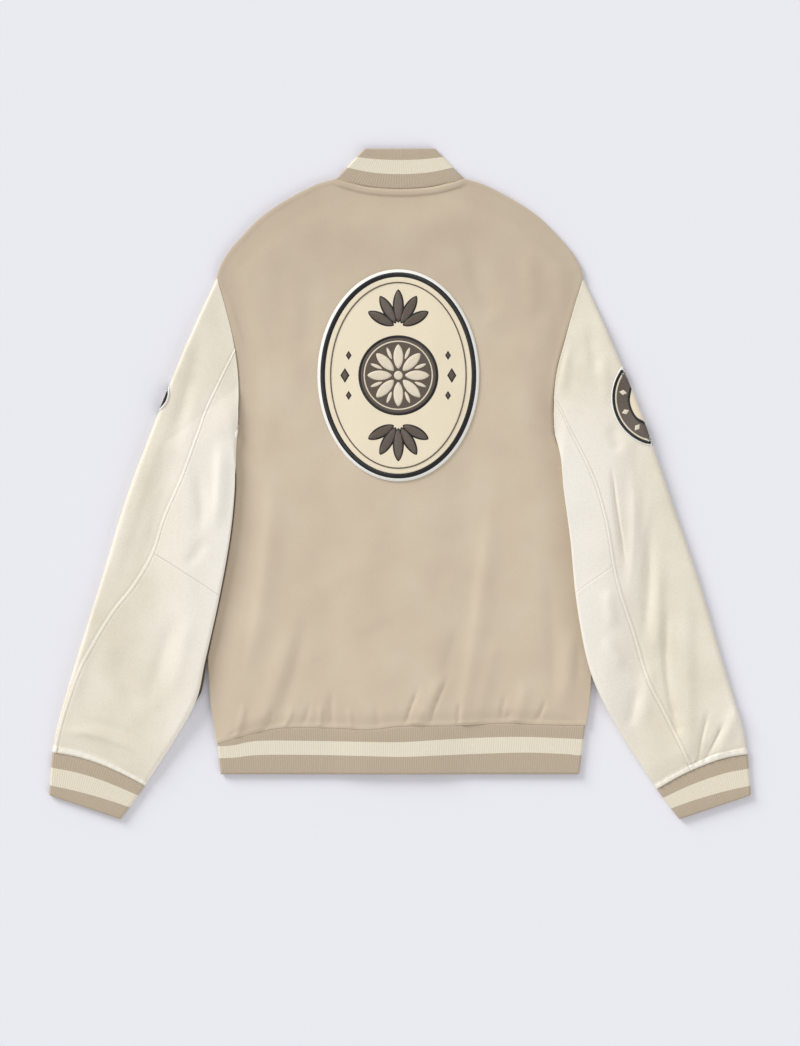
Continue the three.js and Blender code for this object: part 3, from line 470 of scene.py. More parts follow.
def snap_dents(x, y):
    """The hollows that the snap caps sit in"""
    return sum(1.4 * (1 - smooth(SNAP_RADIUS + 0.3, SNAP_RADIUS + 3.5, np.hypot(x, y - place)))
               for place in SNAP_PLACES)


def front_shape(side):
    """A front, laid out in rows: v runs from the hem to the shoulder's top, u from the centre to the side"""
    sign = SIGN[side]
    neck = table([(y, half) for half, y in FRONT_NECK])
    neck_y = FRONT_NECK[-1][1] - HALF_GAP
    neck_from = 0.5 + 0.5 * (neck_y - UNDERARM_Y) / (NECK_TIP_Y - UNDERARM_Y)

    def shape(u, v):
        u, v = crowd(1 - u if side == "right" else u, 0.04, 0.012), crowd(v, 0.025, 0.007)
        level, near_hem, side_y = body_levels(side, np.where(np.abs(v - neck_from) < 0.0027, neck_from, v))
        centre = np.where(level <= neck_y, -PLACKET_REACH, neck(level) + HALF_GAP)
        half = mix(centre, np.maximum(half_width(side)(side_y), centre), u)
        x = sign * half
        y = level + (hem_y(x) + HALF_GAP - HEM_LEVEL) * near_hem
        from_edge = np.minimum(half - centre, np.minimum(v, 1 - v) * FRONT_LENGTH)
        from_side = (1 - u) * (half_width(side)(side_y) - centre)
        z = snap_dents(x, y) if side == "left" else step_down(x, BODY_CLOTH)
        z = z + 0.7 * hump(np.minimum(from_edge, from_side), 1.2)
        z = z + 0.35 * hump(from_edge - 8, 1.2)
        return np.stack([x, y, z], -1)
    return shape


for side in SIGN:
    front = cloth(f"front_{side}_cloth", 60, 130, front_shape(side), MELTON, BODY_SHELL)
    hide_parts(f"front_{side}")


# The snaps: seven pressed metal caps with a rolled rim, set in a row near the front's edge and flush with
# the cloth of the left front and the hem.
def metal_material():
    made, tree, shader, place = new_material("snap_metal", Metallic=0.85, Roughness=0.38)
    scratches = add_node(tree, "ShaderNodeMapping", {"Vector": place, "Scale": (1, 0.05, 1)}).outputs[0]
    wear = noise(tree, scratches, 2600, 4, 0.6)
    tone = blend(tree, ramp(tree, noise(tree, place, 300), 0.35, 0.7), linear("#b3a283"), linear("#cdbf9f"))
    paint(tree, shader, tone)
    tree.links.new(spread(tree, wear, 0.3, 0.5), shader.inputs["Roughness"])
    add_bump(tree, shader, wear, 0.00003, 0.4)
    return made


SNAP_METAL = metal_material()
SNAP_PROFILE = [(0, 0.3), (3.2, 0.3), (4.2, 0.1), (5.2, 0.02), (6.6, 0), (7.2, 0.15), (7.5, 0.5), (7.2, 0.85),
                (6.7, 1.1), (0, 1.1)]
for i, place_y in enumerate(SNAP_PLACES):
    bm = bmesh.new()
    ring = [bm.verts.new((radius * MM, 0, height * MM)) for radius, height in SNAP_PROFILE]
    edges = [bm.edges.new(pair) for pair in zip(ring, ring[1:])]
    bmesh.ops.spin(bm, geom=ring + edges, cent=(0, 0, 0), axis=(0, 0, 1), angle=2 * np.pi, steps=36,
                   use_merge=True)
    bmesh.ops.remove_doubles(bm, verts=bm.verts, dist=0.001 * MM)
    bmesh.ops.recalc_face_normals(bm, faces=bm.faces)
    bmesh.ops.translate(bm, verts=bm.verts, vec=(0, place_y * MM, 0))
    snap = finish_piece(f"snap_cap_{i + 1}", bm, SNAP_METAL)
    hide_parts(f"snap_{i + 1}")


# The sleeves: supple coated leather cloth with a soft gloss and a fine grain. Each is a flattened tube of an
# over sleeve and an under sleeve in two parts, sewn edge to edge, and its inner edge lies over the body.
SLEEVE_CLOTH = 2.2
SLEEVE_SHELL = 1.5
SLEEVE_HOLLOW = 3.6
SEAM_HOLLOW = 0.8
EDGE_RADIUS = 4.5
ROUND_EXTRA = EDGE_RADIUS * (np.pi / 2 - 1)  # how much longer the way round the edge is than its plan
OVER_BODY = BODY_EDGE_TOP + 0.9
PATCH_LIFT = 1.5
UNDER_SEAM = 0.92
WELT = 0.4
WELT_WIDTH = 3.8
CUFF_RIDGE = 1.4
SLEEVE_LENGTH = 585
SLEEVES = {
    "left": {
        "outer": [(-219.5, 247), (-254, 173), (-293, 77), (-329, -19), (-358, -115), (-388, -211),
                  (-409, -283), (-417, -322)],
        "cuff_seam": [(-417, -322), (-389, -327), (-361.5, -335.5), (-334, -347.5), (-306, -362)],
        "seam": [(-198, 156), (-227, 96), (-241, 58), (-260, 6), (-281, -42), (-295, -85), (-317, -123),
                 (-343, -156), (-366, -194), (-386, -234), (-407, -301)],
        "elbow": [(-290, -88), (-216, -132)],
        "patch": {"radius": 36, "beyond": 30, "edge_y": 102},
    },
    "right": {
        "outer": [(220, 247), (253, 173), (292, 77), (325, -19), (358, -115), (386, -211), (408, -283),
                  (417, -324)],
        "cuff_seam": [(417, -324), (390, -328.5), (362.5, -338), (335, -350.5), (308, -366)],
        "seam": [(186, 96), (220, 29), (244, -39), (258, -115), (278, -179), (295, -235), (317, -279),
                 (342, -331)],
        "elbow": [(254, -100), (209, -130)],
        "patch": {"radius": 59, "beyond": 28, "edge_y": 95},
    },
}
SLEEVE_FOLDS = {
    "left": [
        (-232, 200, -254, 112, -268, 66, 10, -2.2, 0.2),
        (-252, 120, -284, -20, -326, -146, 13, -1.3, 0.2),
        (-258, 130, -307, 0, -348, -130, 10, 1.3, -0.2),
        (-288, 62, -328, -36, -356, -150, 10, 1.4, 0.3),
        (-214, 60, -216, 0, -222, -60, 9, 3.5, 0.2),
        (-246, 20, -238, -20, -240, -60, 7, -2.4),
        (-234, -62, -244, -84, -260, -98, 7, -1.8),
        (-408, -300, -358, -303, -303, -330, 5, 1.7, 0.3),
        (-396, -285, -352, -289, -312, -310, 6, -1),
        (-342, -186, -330, -235, -310, -278, 14, -2.4),
        (-366, -150, -382, -220, -398, -286, 9, 1.6),
        (-250, -150, -262, -205, -276, -262, 9, 1.8),
        (-268, -150, -286, -210, -306, -270, 8, -1.5),
        (-244, 130, -250, 84, -262, 30, 10, 1.6),
    ],
    "right": [
        (200, 176, 198, 140, 191, 100, 7, 1.8),
        (226, 196, 231, 160, 236, 128, 8, -2.2, 0.2),
        (240, 160, 245, 128, 249, 92, 7, 1.9),
        (252, 74, 258, 54, 264, 34, 7, -2),
        (253, 30, 260, -36, 272, -102, 2.6, -2.4, -0.2),
        (254, 18, 260, -34, 271, -98, 1.5, -1.5),
        (278, 30, 281, -50, 274, -148, 8, 3.4, 0.2),
        (300, 10, 292, -80, 278, -152, 6, 1.2),
        (297, -36, 297, -112, 293, -196, 6, -2.6),
        (311, -70, 309, -150, 307, -210, 7, 2.4),
        (322, -140, 318, -212, 331, -288, 4.6, -2.6, 0.2),
        (340, -110, 344, -215, 345, -322, 12, 2.8, -0.2, 1),
        (326, -258, 330, -282, 335, -304, 5, -2),
        (389, -282, 377, -306, 365, -328, 2.6, -2.8, 0.3, 1),
        (371, -266, 362, -300, 355, -334, 2.6, -2.5, 0, 1),
        (406, -262, 396, -290, 384, -322, 7, 2.4, 0, 1),
        (302, -206, 296, -250, 290, -300, 9, 2.2),
        (284, -240, 279, -268, 273, -294, 6, -2.2),
        (248, -122, 251, -148, 255, -176, 7, 2),
        (244, -180, 256, -202, 270, -218, 7, 1.9),
        (322, 60, 340, -20, 362, -90, 10, 1.5),
    ],
}


def sleeve_of(side):
    sleeve, sign = SLEEVES[side], SIGN[side]
    hole = curve(ARMHOLE[side])
    even = np.linspace(0, 1, 20001)
    leaves = even[np.argmax(hole(even)[:, 1] >= SLEEVE_INNER[side][0][1])]
    arm_seam = beside(lambda t: hole(mix(1, leaves, t)), sign * HALF_GAP)
    cuff_seam = beside(curve(sleeve["cuff_seam"]), -sign * HALF_GAP)
    outer, inner = curve(sleeve["outer"]), curve(SLEEVE_INNER[side])
    plan = spanned(arm_seam, cuff_seam, outer, inner)

    def locate(x, y):
        """The share across and the share along that the sleeve's plan has at a place"""
        target = np.stack([x, y], -1)
        across = np.full(np.shape(x), 0.3)
        along = np.clip((SHOULDER_TIP_Y - np.asarray(y)) / 590, 0.01, 0.99)
        for _ in range(8):
            miss_x, miss_y = np.moveaxis(target - plan(across, along), -1, 0)
            ax, ay = np.moveaxis(plan(across + 0.001, along) - plan(across - 0.001, along), -1, 0) / 0.002
            sx, sy = np.moveaxis(plan(across, along + 0.001) - plan(across, along - 0.001), -1, 0) / 0.002
            area = ax * sy - ay * sx
            across = across + np.clip((miss_x * sy - miss_y * sx) / area, -0.2, 0.2)
            along = np.clip(along + np.clip((ax * miss_y - ay * miss_x) / area, -0.1, 0.1), 0.001, 0.999)
        return across, along

    across, along = locate(*np.array(sleeve["seam"], float).T)
    last = across[-1] + (across[-1] - across[-2]) * (1 - along[-1]) / (along[-1] - along[-2])
    seam_at = table([(0, across[0]), *zip(along[1:-1], across[1:-1]), (1, last)])
    elbow_across, elbow_along = locate(*spline(np.array(sleeve["elbow"], float), np.linspace(0, 1, 12)).T)
    (low_x, low_y), (high_x, high_y) = ARMHOLE[side][0], ARMHOLE[side][2]
    hook_slope = (high_y - low_y) / abs(high_x - low_x)
    patch = sleeve["patch"]
    drawn = spline(np.array(sleeve["outer"], float), np.linspace(0, 1, 81))
    patch_edge = drawn[np.argmin(np.abs(drawn[:, 1] - patch["edge_y"]))]
    (from_x, from_y), (to_x, to_y) = sleeve["outer"][1:3]
    outward = sign * np.array([from_y - to_y, to_x - from_x]) / np.hypot(from_y - to_y, to_x - from_x)
    patch_centre = patch_edge - outward * patch["beyond"]

    def floor_height(x, y, down):
        past_side = sign * x - side_x(y)
        past_hook = (y - low_y - (abs(low_x) - sign * x) * hook_slope) * 0.78
        raised = OVER_BODY * (1 - smooth(12, down, np.maximum(past_side, past_hook)))
        from_patch = np.hypot(x - patch_centre[0], y - patch_centre[1]) - patch["radius"]
        return np.maximum(raised, PATCH_LIFT * (1 - smooth(42, 75, from_patch)))

    def at(s, c, from_inner=False, depth=0.0):
        """A place on the tube: s along it, c round it in millimetres from an edge, positive above"""
        a, b = outer(s), inner(s)
        width = np.linalg.norm(b - a, axis=-1)
        sharpened = 1 - 0.85 * smooth(0.035, 0, s) if from_inner else 1
        radius = (EDGE_RADIUS - depth) * sharpened
        quarter = radius * np.pi / 2
        turn = np.clip(np.abs(c) / quarter, 0, 1) * np.pi / 2
        made_up = (EDGE_RADIUS - depth - radius) * (np.pi / 2 - 1) * smooth(quarter, 20, np.abs(c))
        across = depth + radius * (1 - np.cos(turn)) + np.maximum(0, np.abs(c) - quarter) - made_up
        share = across / width
        place = plan(1 - share if from_inner else share, s)
        x, y = place[..., 0], place[..., 1]
        ends = np.minimum(smooth(0, 0.12, s), smooth(0, 0.06, 1 - s))
        folds = fold_heights(SLEEVE_FOLDS[side], x, y) + unevenness(x, y, 0.45)
        hollow = mix(SEAM_HOLLOW, SLEEVE_HOLLOW, ends)
        hollow = hollow + folds * smooth(0, 0.03, s) * smooth(-0.01, 0.02, 1 - s)
        hollow = SEAM_HOLLOW - 0.3 + (hollow + np.sqrt(hollow * hollow + 0.3)) / 2
        low = floor_height(x, y, 45) + depth
        high = floor_height(x, y, 62) - depth + 2 * SLEEVE_CLOTH + hollow
        z = (low + high) / 2 + np.sign(c) * np.sin(turn) * (high - low) / 2
        return np.stack([x, y, z], -1)

    def width_at(s):
        return np.linalg.norm(inner(s) - outer(s), axis=-1)

    def elbow_at(u):
        """Where the elbow seam lies along the sleeve, u being how far round from the back seam"""
        shown = 1 - elbow_across[0]
        return np.interp(elbow_across[0] + u * (shown + 1 - UNDER_SEAM), elbow_across, elbow_along)
    return {"at": at, "width": width_at, "seam": seam_at, "elbow": elbow_at, "locate": locate,
            "patch_edge": patch_edge, "patch_out": outward}


def puckers(c):
    """The uneven gathers along the seam at the cuff"""
    return np.sin(0.8 * c + 1.7 * np.sin(0.19 * c))


def sewn_height(s, start, end, c, from_top_seam, from_seam, part):
    """The relief beside a sleeve panel's seams: a stitched welt along the back seam, on the over sleeve,
    and a puckered ridge above the cuff"""
    from_start = (s - start) * SLEEVE_LENGTH
    from_end = (end - s) * SLEEVE_LENGTH
    nearest = np.minimum(np.minimum(from_start, from_end), from_seam)
    relief = 0.12 * hump(nearest - 2.8, 2) - 0.12 * hump(nearest, 0.7)
    if part == "over":
        far_side = smooth(WELT_WIDTH + 0.8, WELT_WIDTH - 0.8, from_top_seam)
        relief = relief + WELT * smooth(-0.4, 1.6, from_top_seam) * far_side
        relief = relief - 0.35 * hump(from_top_seam - WELT_WIDTH - 1, 1.5)
    if part != "under_upper":
        pucker = 1 + 0.25 * puckers(c)
        relief = relief + CUFF_RIDGE * pucker * smooth(0.6, 1.8, from_end) * smooth(8.2, 6.8, from_end)
        relief = relief - 0.5 * pucker * hump(from_end - 9.4, 1.8)
    return relief


def sleeve_panel(sleeve, part, flipped):
    """The panel's shape, and its painted highlight: strongest on the ridge above the cuff, half as strong
    along the welt
    """
    from_inner = part != "over"

    def laid(u, v):
        u = 1 - u if flipped else u
        if from_inner:
            u = crowd(u, 0.13, 0.03)
        else:
            u = np.interp(u, [0, 0.1, 0.4, 0.97, 1], [0, 0.025, 0.2, 0.99, 1])
        elbow = sleeve["elbow"](u)
        seam_gap = HALF_GAP / SLEEVE_LENGTH
        start = elbow + seam_gap if part == "under_lower" else 0.0
        end = elbow - seam_gap if part == "under_upper" else 1.0
        s = mix(start, end, crowd(v, 0.06, 0.018))
        width = sleeve["width"](s)
        seam = sleeve["seam"](s)
        top = (1 - seam if from_inner else seam) * width + ROUND_EXTRA - HALF_GAP
        below = (1 - UNDER_SEAM if from_inner else UNDER_SEAM) * width + ROUND_EXTRA - HALF_GAP
        return s, start, end, mix(top, -below, u), top, below

    def shape(u, v):
        s, start, end, c, top, below = laid(u, v)
        place = sleeve["at"](s, c, from_inner)
        relief = sewn_height(s, start, end, c, top - c, np.minimum(top - c, c + below), part)
        place[..., 2] += relief * np.clip(c / 4, -1, 1)
        place[..., 2] = np.maximum(place[..., 2], 0)
        return place

    def painted_highlight(u, v):
        s, start, end, c, top, below = laid(u, v)
        from_end = (end - s) * SLEEVE_LENGTH
        ridge = smooth(0, 2, from_end) * smooth(8.4, 6, from_end) * (part != "under_upper")
        welt = smooth(0, 1, top - c) * smooth(WELT_WIDTH + 0.4, WELT_WIDTH - 1, top - c) * (part == "over")
        return np.maximum(ridge * (0.8 + 0.2 * puckers(c)), 0.5 * welt)
    return shape, painted_highlight


def maths(tree, kind, first, second=0.0):
    return add_node(tree, "ShaderNodeMath", {0: first, 1: second}, operation=kind).outputs[0]


def split(tree, vector):
    """The three numbers of a vector"""
    return add_node(tree, "ShaderNodeSeparateXYZ", {"Vector": vector}).outputs


def leather_material():
    """Coated leather cloth: pebble grain, faint mottling and a soft gloss, with painted highlights on the
    ridge above the cuff, along the welt and towards the lower sleeves' inner edges
    """
    made, tree, shader, place = new_material("sleeve_leather", Roughness=0.42, Coat_Weight=0.1,
                                             Coat_Roughness=0.32, Specular_IOR_Level=0.5)
    cells = add_node(tree, "ShaderNodeTexVoronoi", {"Vector": place, "Scale": 620.0, "Randomness": 1.0},
                     feature="DISTANCE_TO_EDGE").outputs["Distance"]
    pores = noise(tree, place, 1500, 3, 0.6)
    cloud = noise(tree, place, 14, 5, 0.55)
    base = blend(tree, ramp(tree, cloud, 0.32, 0.7), linear("#e5dcc7"), linear("#efe8d8"))
    # Painted highlight: the leather is lighter towards the inner edges of the lower sleeves
    sides = ramp(tree, maths(tree, "ABSOLUTE", split(tree, place)[0]), 0.31, 0.22)
    inner = maths(tree, "MULTIPLY", sides, ramp(tree, split(tree, place)[1], 0.13, 0.03))
    base = blend(tree, inner, base, linear("#f5efe4"))
    # painted highlight: lighter cloth on the ridge above the cuff and along the welt
    base = blend(tree, maths(tree, "MULTIPLY", attribute(tree, "painted_ridge_highlight"), 0.8), base, linear("#fbf6ea"))
    grain = blend(tree, ramp(tree, cells, 0.0, 0.18), (0.9, 0.89, 0.87, 1), (1, 1, 1, 1))
    paint(tree, shader, blend(tree, 1.0, base, grain, "MULTIPLY"))
    tree.links.new(spread(tree, noise(tree, place, 45, 4), 0.32, 0.46), shader.inputs["Roughness"])
    add_bump(tree, shader, blend(tree, 0.35, ramp(tree, cells, 0.0, 0.22), pores), 0.00022, 0.4)
    return made


# Each panel's cut: the width and length of its pattern piece and its area
SLEEVE_CUTS = {
    "left": {"over": (0.21, 0.62, 0.0905), "under_upper": (0.085, 0.3, 0.0168),
             "under_lower": (0.15, 0.36, 0.036)},
    "right": {"over": (0.25, 0.62, 0.12), "under_upper": (0.065, 0.26, 0.0103),
              "under_lower": (0.08, 0.37, 0.0175)},
}
LEATHER = leather_material()
sleeves = {}
for side in SIGN:
    sleeve = sleeves[side] = sleeve_of(side)
    for part, columns, rows in [("over", 108, 220), ("under_upper", 50, 100), ("under_lower", 60, 120)]:
        flipped = (side == "left") == (part != "over")
        shape, painted_highlight = sleeve_panel(sleeve, part, flipped)
        panel = cloth(f"sleeve_{side}_{part}_cloth", columns, rows, shape, LEATHER, SLEEVE_SHELL)
        # the painted highlight on the ridge and the welt, for the leather to read
        give_values(panel, "painted_ridge_highlight", "FLOAT", "value", painted_highlight(*grid_of(panel)))
        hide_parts(f"sleeve_{side}_{part}")
        width, length, area = SLEEVE_CUTS[side][part]


# The ribs: thick knitted bands round the hem, the wrists and the neck, brown-grey with one cream stripe.
# Each is one strip folded flat at the sides, and its raised ribs run across it.
RIB_MIDDLE = 2.75
RIB_CLOTH = 2.6
RIB_SHELL = 1.6
RIB_PITCH = 2.7
RIB_RELIEF = 0.3
COLUMNS_A_RIB = 6
LOOPS_ACROSS = 34
HEM_END_X, HEM_END_Y = 215, -348
HEM_ROUND = 915
CUFF_ENDS = {"left": [(-421, -373), (-335, -402)], "right": [(421, -373), (335, -402)]}
COLLAR_FRONT = [(42.5, 402), (40, 368), (24, 336), (1, 324)]


def from_line(tree, count):
    """How far a running count is from the middle between two whole numbers, 0 to 0.5"""
    return maths(tree, "ABSOLUTE", maths(tree, "SUBTRACT", maths(tree, "FRACT", count), 0.5))


def rib_material():
    """Rib knit: small V stitches in columns, painted shade along the ribs and between stitches, a cream stripe
    """
    made, tree, shader, place = new_material("rib_knit", Roughness=0.92, Sheen_Weight=0.25,
                                             Sheen_Roughness=0.5, Specular_IOR_Level=0.2)
    parts = split(tree, attribute(tree, "knit", "Vector"))
    across = from_line(tree, parts[0])
    ridge = maths(tree, "MULTIPLY", across, 2.0)
    loop = from_line(tree, maths(tree, "ADD", parts[1], maths(tree, "MULTIPLY", across, 1.3)))
    above = maths(tree, "GREATER_THAN", parts[2], 1 / 3)
    in_stripe = maths(tree, "MULTIPLY", above, maths(tree, "LESS_THAN", parts[2], 2 / 3))
    yarn = ramp(tree, noise(tree, place, 1500, 3, 0.6), 0.3, 0.75)
    dark = blend(tree, yarn, linear("#b5a590"), linear("#c5b5a0"))
    light = blend(tree, yarn, linear("#e0d7c0"), linear("#ede5d1"))
    base = blend(tree, in_stripe, dark, light)
    # painted shade in a fine line along each rib
    painted_rib_shade = blend(tree, ramp(tree, ridge, 0.0, 0.75), (1, 1, 1, 1), (0.955, 0.95, 0.945, 1))
    base = blend(tree, 1.0, base, painted_rib_shade, "MULTIPLY")
    # painted shade in the lines between the stitches
    stitch = blend(tree, ramp(tree, loop, 0.0, 0.18), (0.95, 0.945, 0.94, 1), (1, 1, 1, 1))
    paint(tree, shader, blend(tree, 1.0, base, stitch, "MULTIPLY"))
    add_bump(tree, shader, loop, 0.0004, 0.5)
    return made


RIB_KNIT = rib_material()


def corner_of(path, share):
    """The fold's corner on a seam or free edge, and the way that points outwards there"""
    place = path(share)
    return place, unit(place - path(mix(share, 0.5, 0.06)))


def flat_stations(seam, end, face, height):
    """Stations of a flat layer: seam place, free-edge place and the way its ribs stand out"""
    z = np.broadcast_to(height, seam.shape[:1])[:, None]
    out = np.broadcast_to((0, 0, face), (len(seam), 3))
    return np.stack([np.hstack([seam, z]), np.hstack([end, z]), out], 1)


def fold_round(lower, upper, goes_up):
    """Stations of the half turn between the lower and the upper layer at a side"""
    stations = []
    for degrees in np.linspace(-84, 84, 9) * (1 if goes_up else -1):
        turn = np.radians(degrees)
        radius = RIB_MIDDLE - RIB_RELIEF * (1 - np.sin(turn)) / 2
        share = (np.sin(turn) + 1) / 2
        row = []
        outs = []
        for (low, low_out), (high, high_out) in zip(lower, upper):
            place, outward = mix(low, high, share), mix(low_out, high_out, share)
            reach = radius * np.cos(turn) - RIB_MIDDLE
            row.append([*(place + outward * reach), RIB_MIDDLE + radius * np.sin(turn)])
            outs.append(outward)
        out = sum(outs) / len(outs) * np.cos(turn)
        stations.append([*row, [*out, np.sin(turn)]])
    return np.array(stations)


def between_folds(line):
    """Places along a seam or free edge, from one side's fold to the other's"""
    inset = RIB_MIDDLE / np.linalg.norm(line(1.0) - line(0.0))
    return line(np.linspace(inset, 1 - inset, 160))


def straight(start, end):
    """The straight line between two places, read by share"""
    first, last = np.array([start, end], float)
    return lambda share: mix(first, last, np.asarray(share, float)[..., None])


def upper_stations(seam, end, lift=np.zeros_like):
    places = between_folds(seam)
    return flat_stations(places, between_folds(end), 1, 2 * RIB_MIDDLE + lift(places[:, 0]))


def row_places(v, low, high):
    """The rows' places across a band: a third of them in each colour, crowded towards the band's edges"""
    first = low * np.interp(v, [0, 1 / 9, 1 / 3], [0, 0.12, 1])
    last = mix(high, 1, np.interp(v, [2 / 3, 8 / 9, 1], [0, 0.88, 1]))
    return np.where(v < 1 / 3, first, np.where(v < 2 / 3, mix(low, high, 3 * v - 1), last))


def rib_band(name, node, parts, stripe, closed=False, flipped=False, dents=False):
    """A band of rib knit through its stations. stripe gives the cream stripe's two edges, as shares of the
    width from the seam, for a place along the band and its width there"""
    stations = np.concatenate(parts)
    if closed:
        stations = np.concatenate([stations, stations[:1]])
    middle = stations[:, :2].mean(1)
    along = np.r_[0, np.cumsum(np.linalg.norm(np.diff(middle, axis=0), axis=1))]
    count = int(round(along[-1] / RIB_PITCH))

    def read(u, k):
        return np.stack([np.interp(u * along[-1], along, stations[:, k, axis]) for axis in range(3)], -1)

    def laid(u, v):
        run = 1 - u if flipped else u
        seam, end, out = read(run, 0), read(run, 1), read(run, 2)
        width = np.linalg.norm(end - seam, axis=-1)
        return run, seam, end, out, width, row_places(v, *stripe(run, width))

    def shape(u, v):
        run, seam, end, out, width, across = laid(u, v)
        out = unit(out)
        from_edge = np.minimum(across, 1 - across) * width
        ribs = (0.5 + 0.5 * np.cos(2 * np.pi * count * run)) ** 0.8
        relief = RIB_RELIEF * ribs - 0.3 * hump(from_edge, 1.3)
        place = mix(seam, end, across[:, None]) + out * relief[:, None]
        if dents:
            is_below = np.clip(-out[:, 2], 0, 1)
            place[:, 2] += is_below * snap_dents(place[:, 0], place[:, 1])
        return place

    piece = cloth(name, COLUMNS_A_RIB * count, 9, shape, RIB_KNIT, RIB_SHELL, closed)
    u, v = grid_of(piece)
    knit = np.column_stack([u * count, laid(u, v)[-1] * LOOPS_ACROSS, v]).ravel()
    give_values(piece, "knit", "FLOAT_VECTOR", "vector", knit)
    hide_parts(node)


# The hem: one strip of rib knit, sewn to the body all round. It starts at the left front's edge, goes round
# both sides and ends at the right front's edge, under the start.
def hem_seam_line(share):
    x = mix(HEM_SEAM[0][0], HEM_SEAM[-1][0], np.asarray(share, float))
    return np.stack([x, hem_y(x) - HALF_GAP], -1)


def hem_lower(side, reach):
    """The lower layer from the centre out to the side"""
    corner = abs(HEM_SEAM[0][0] if side == "left" else HEM_SEAM[-1][0])
    x = SIGN[side] * np.linspace(-PLACKET_REACH, corner - RIB_MIDDLE, 90)
    seam = np.stack([x, hem_y(x) - HALF_GAP], -1)
    end = np.stack([x * HEM_END_X / corner, np.full_like(x, HEM_END_Y)], -1)
    return flat_stations(seam, end, -1, RIB_RELIEF + reach(x))


hem_end_line = straight((-HEM_END_X, HEM_END_Y), (HEM_END_X, HEM_END_Y))
stripe_top = table([(-457, 39), (-300, 37), (-216, 33.8), (-173, 40), (-110, 40), (-47, 39), (0, 38.6),
                    (47, 41.4), (109, 44.4), (156, 44.8), (203, 43), (219, 42.3), (300, 40), (457, 39)])
stripe_low = table([(-457, 22.5), (-300, 21.5), (-216, 19.4), (-173, 23), (-110, 23.2), (-47, 22), (0, 20.9),
                    (47, 22.6), (109, 25), (156, 26), (203, 24.2), (219, 22.8), (300, 22.5), (457, 22.5)])


def hem_stripe(run, width):
    """The stripe waves a little above the free edge"""
    x = (run - 0.5) * HEM_ROUND
    return np.maximum(0.03, 1 - stripe_top(x) / width), 1 - stripe_low(x) / width


hem_corner = [(corner_of(hem_seam_line, share), corner_of(hem_end_line, share)) for share in (0.0, 1.0)]
rib_band("hem_rib_knit", "hem_rib", [
    hem_lower("left", np.zeros_like),
    fold_round(hem_corner[0], hem_corner[0], True),
    upper_stations(hem_seam_line, hem_end_line, lambda x: over_overlap(x, RIB_CLOTH)),
    fold_round(hem_corner[1], hem_corner[1], False),
    hem_lower("right", lambda x: step_down(x, RIB_CLOTH))[::-1],
], hem_stripe, flipped=True, dents=True)


# The cuffs: a closed tube of rib knit at each wrist, pressed flat. The sleeve is gathered a little into it.
def cuff_stripe(run, width):
    """The stripe is drawn up a little towards the sleeve's inner edge"""
    inward = 1 - abs(2 * run - 1)
    return mix(0.35, 0.28, inward), mix(0.765, 0.63, inward)


for side in SIGN:
    seam_line = beside(curve(SLEEVES[side]["cuff_seam"]), SIGN[side] * HALF_GAP)
    end_line = straight(*CUFF_ENDS[side])
    corners = [(corner_of(seam_line, share), corner_of(end_line, share)) for share in (0.0, 1.0)]
    seam_below, end_below = (between_folds(line)[::-1] for line in (seam_line, end_line))
    rib_band(f"cuff_rib_{side}_knit", f"cuff_rib_{side}", [
        upper_stations(seam_line, end_line),
        fold_round(corners[1], corners[1], False),
        flat_stations(seam_below, end_below, -1, RIB_RELIEF),
        fold_round(corners[0], corners[0], True),
    ], cuff_stripe, closed=True, flipped=side == "left")


# The collar: one strip of rib knit from the centre front round the neck, sewn to both necklines. Behind it
# stands up on the wearer, and lies flat past the neckline here.
collar_seam = beside(neck_line, HALF_GAP)
collar_end = straight((-COLLAR_FRONT[0][0], COLLAR_FRONT[0][1]), COLLAR_FRONT[0])


def collar_front(side):
    sign = SIGN[side]
    seam = beside(curve([(sign * half, y) for half, y in FRONT_NECK]), -sign * HALF_GAP)
    end = curve([(sign * half, y) for half, y in COLLAR_FRONT])
    t = np.linspace(0.03, 1, 70)
    places = seam(t)
    places[:, 0] = sign * np.maximum(1, sign * places[:, 0])
    corner = (corner_of(seam, 0.0), corner_of(end, 0.0))
    return flat_stations(places, end(t), -1, RIB_RELIEF), corner


collar_corner = [(corner_of(collar_seam, share), corner_of(collar_end, share)) for share in (0.0, 1.0)]
(left_front, left_corner), (right_front, right_corner) = collar_front("left"), collar_front("right")
rib_band("collar_rib_knit", "collar_rib", [
    left_front[::-1],
    fold_round(left_corner, collar_corner[0], True),
    upper_stations(collar_seam, collar_end),
    fold_round(right_corner, collar_corner[1], False),
    right_front,
], lambda run, width: (0.37, 0.72))


# A narrow dark brown strip is painted shadow: a dark sheet in the crack beside the left sleeve's inner edge,
# on the body.
# It is folded in two round the edge, and its lower end lies past the body's side, a little above the surface.
SHADOW_WIDTH = 1.5
SHADOW_LOW = 4.2


def edge_shadow_shape(u, v):
    line = curve(SLEEVE_INNER["left"])
    s = mix(0.735, 0.01, v)
    along = line(s + 0.004) - line(s - 0.004)
    outward = unit(np.stack([-along[:, 1], along[:, 0]], -1))
    shown = (SHADOW_WIDTH + 1.1 * smooth(0.3, 0.05, v)) * smooth(0, 0.05, v) * smooth(1, 0.98, v)
    plan = line(s) + outward * mix(-3.0, shown, u)[:, None]
    on_body = back_top(plan[:, 0], plan[:, 1]) + 0.9
    return np.column_stack([plan, mix(SHADOW_LOW, on_body, smooth(-262, -236, plan[:, 1]))])


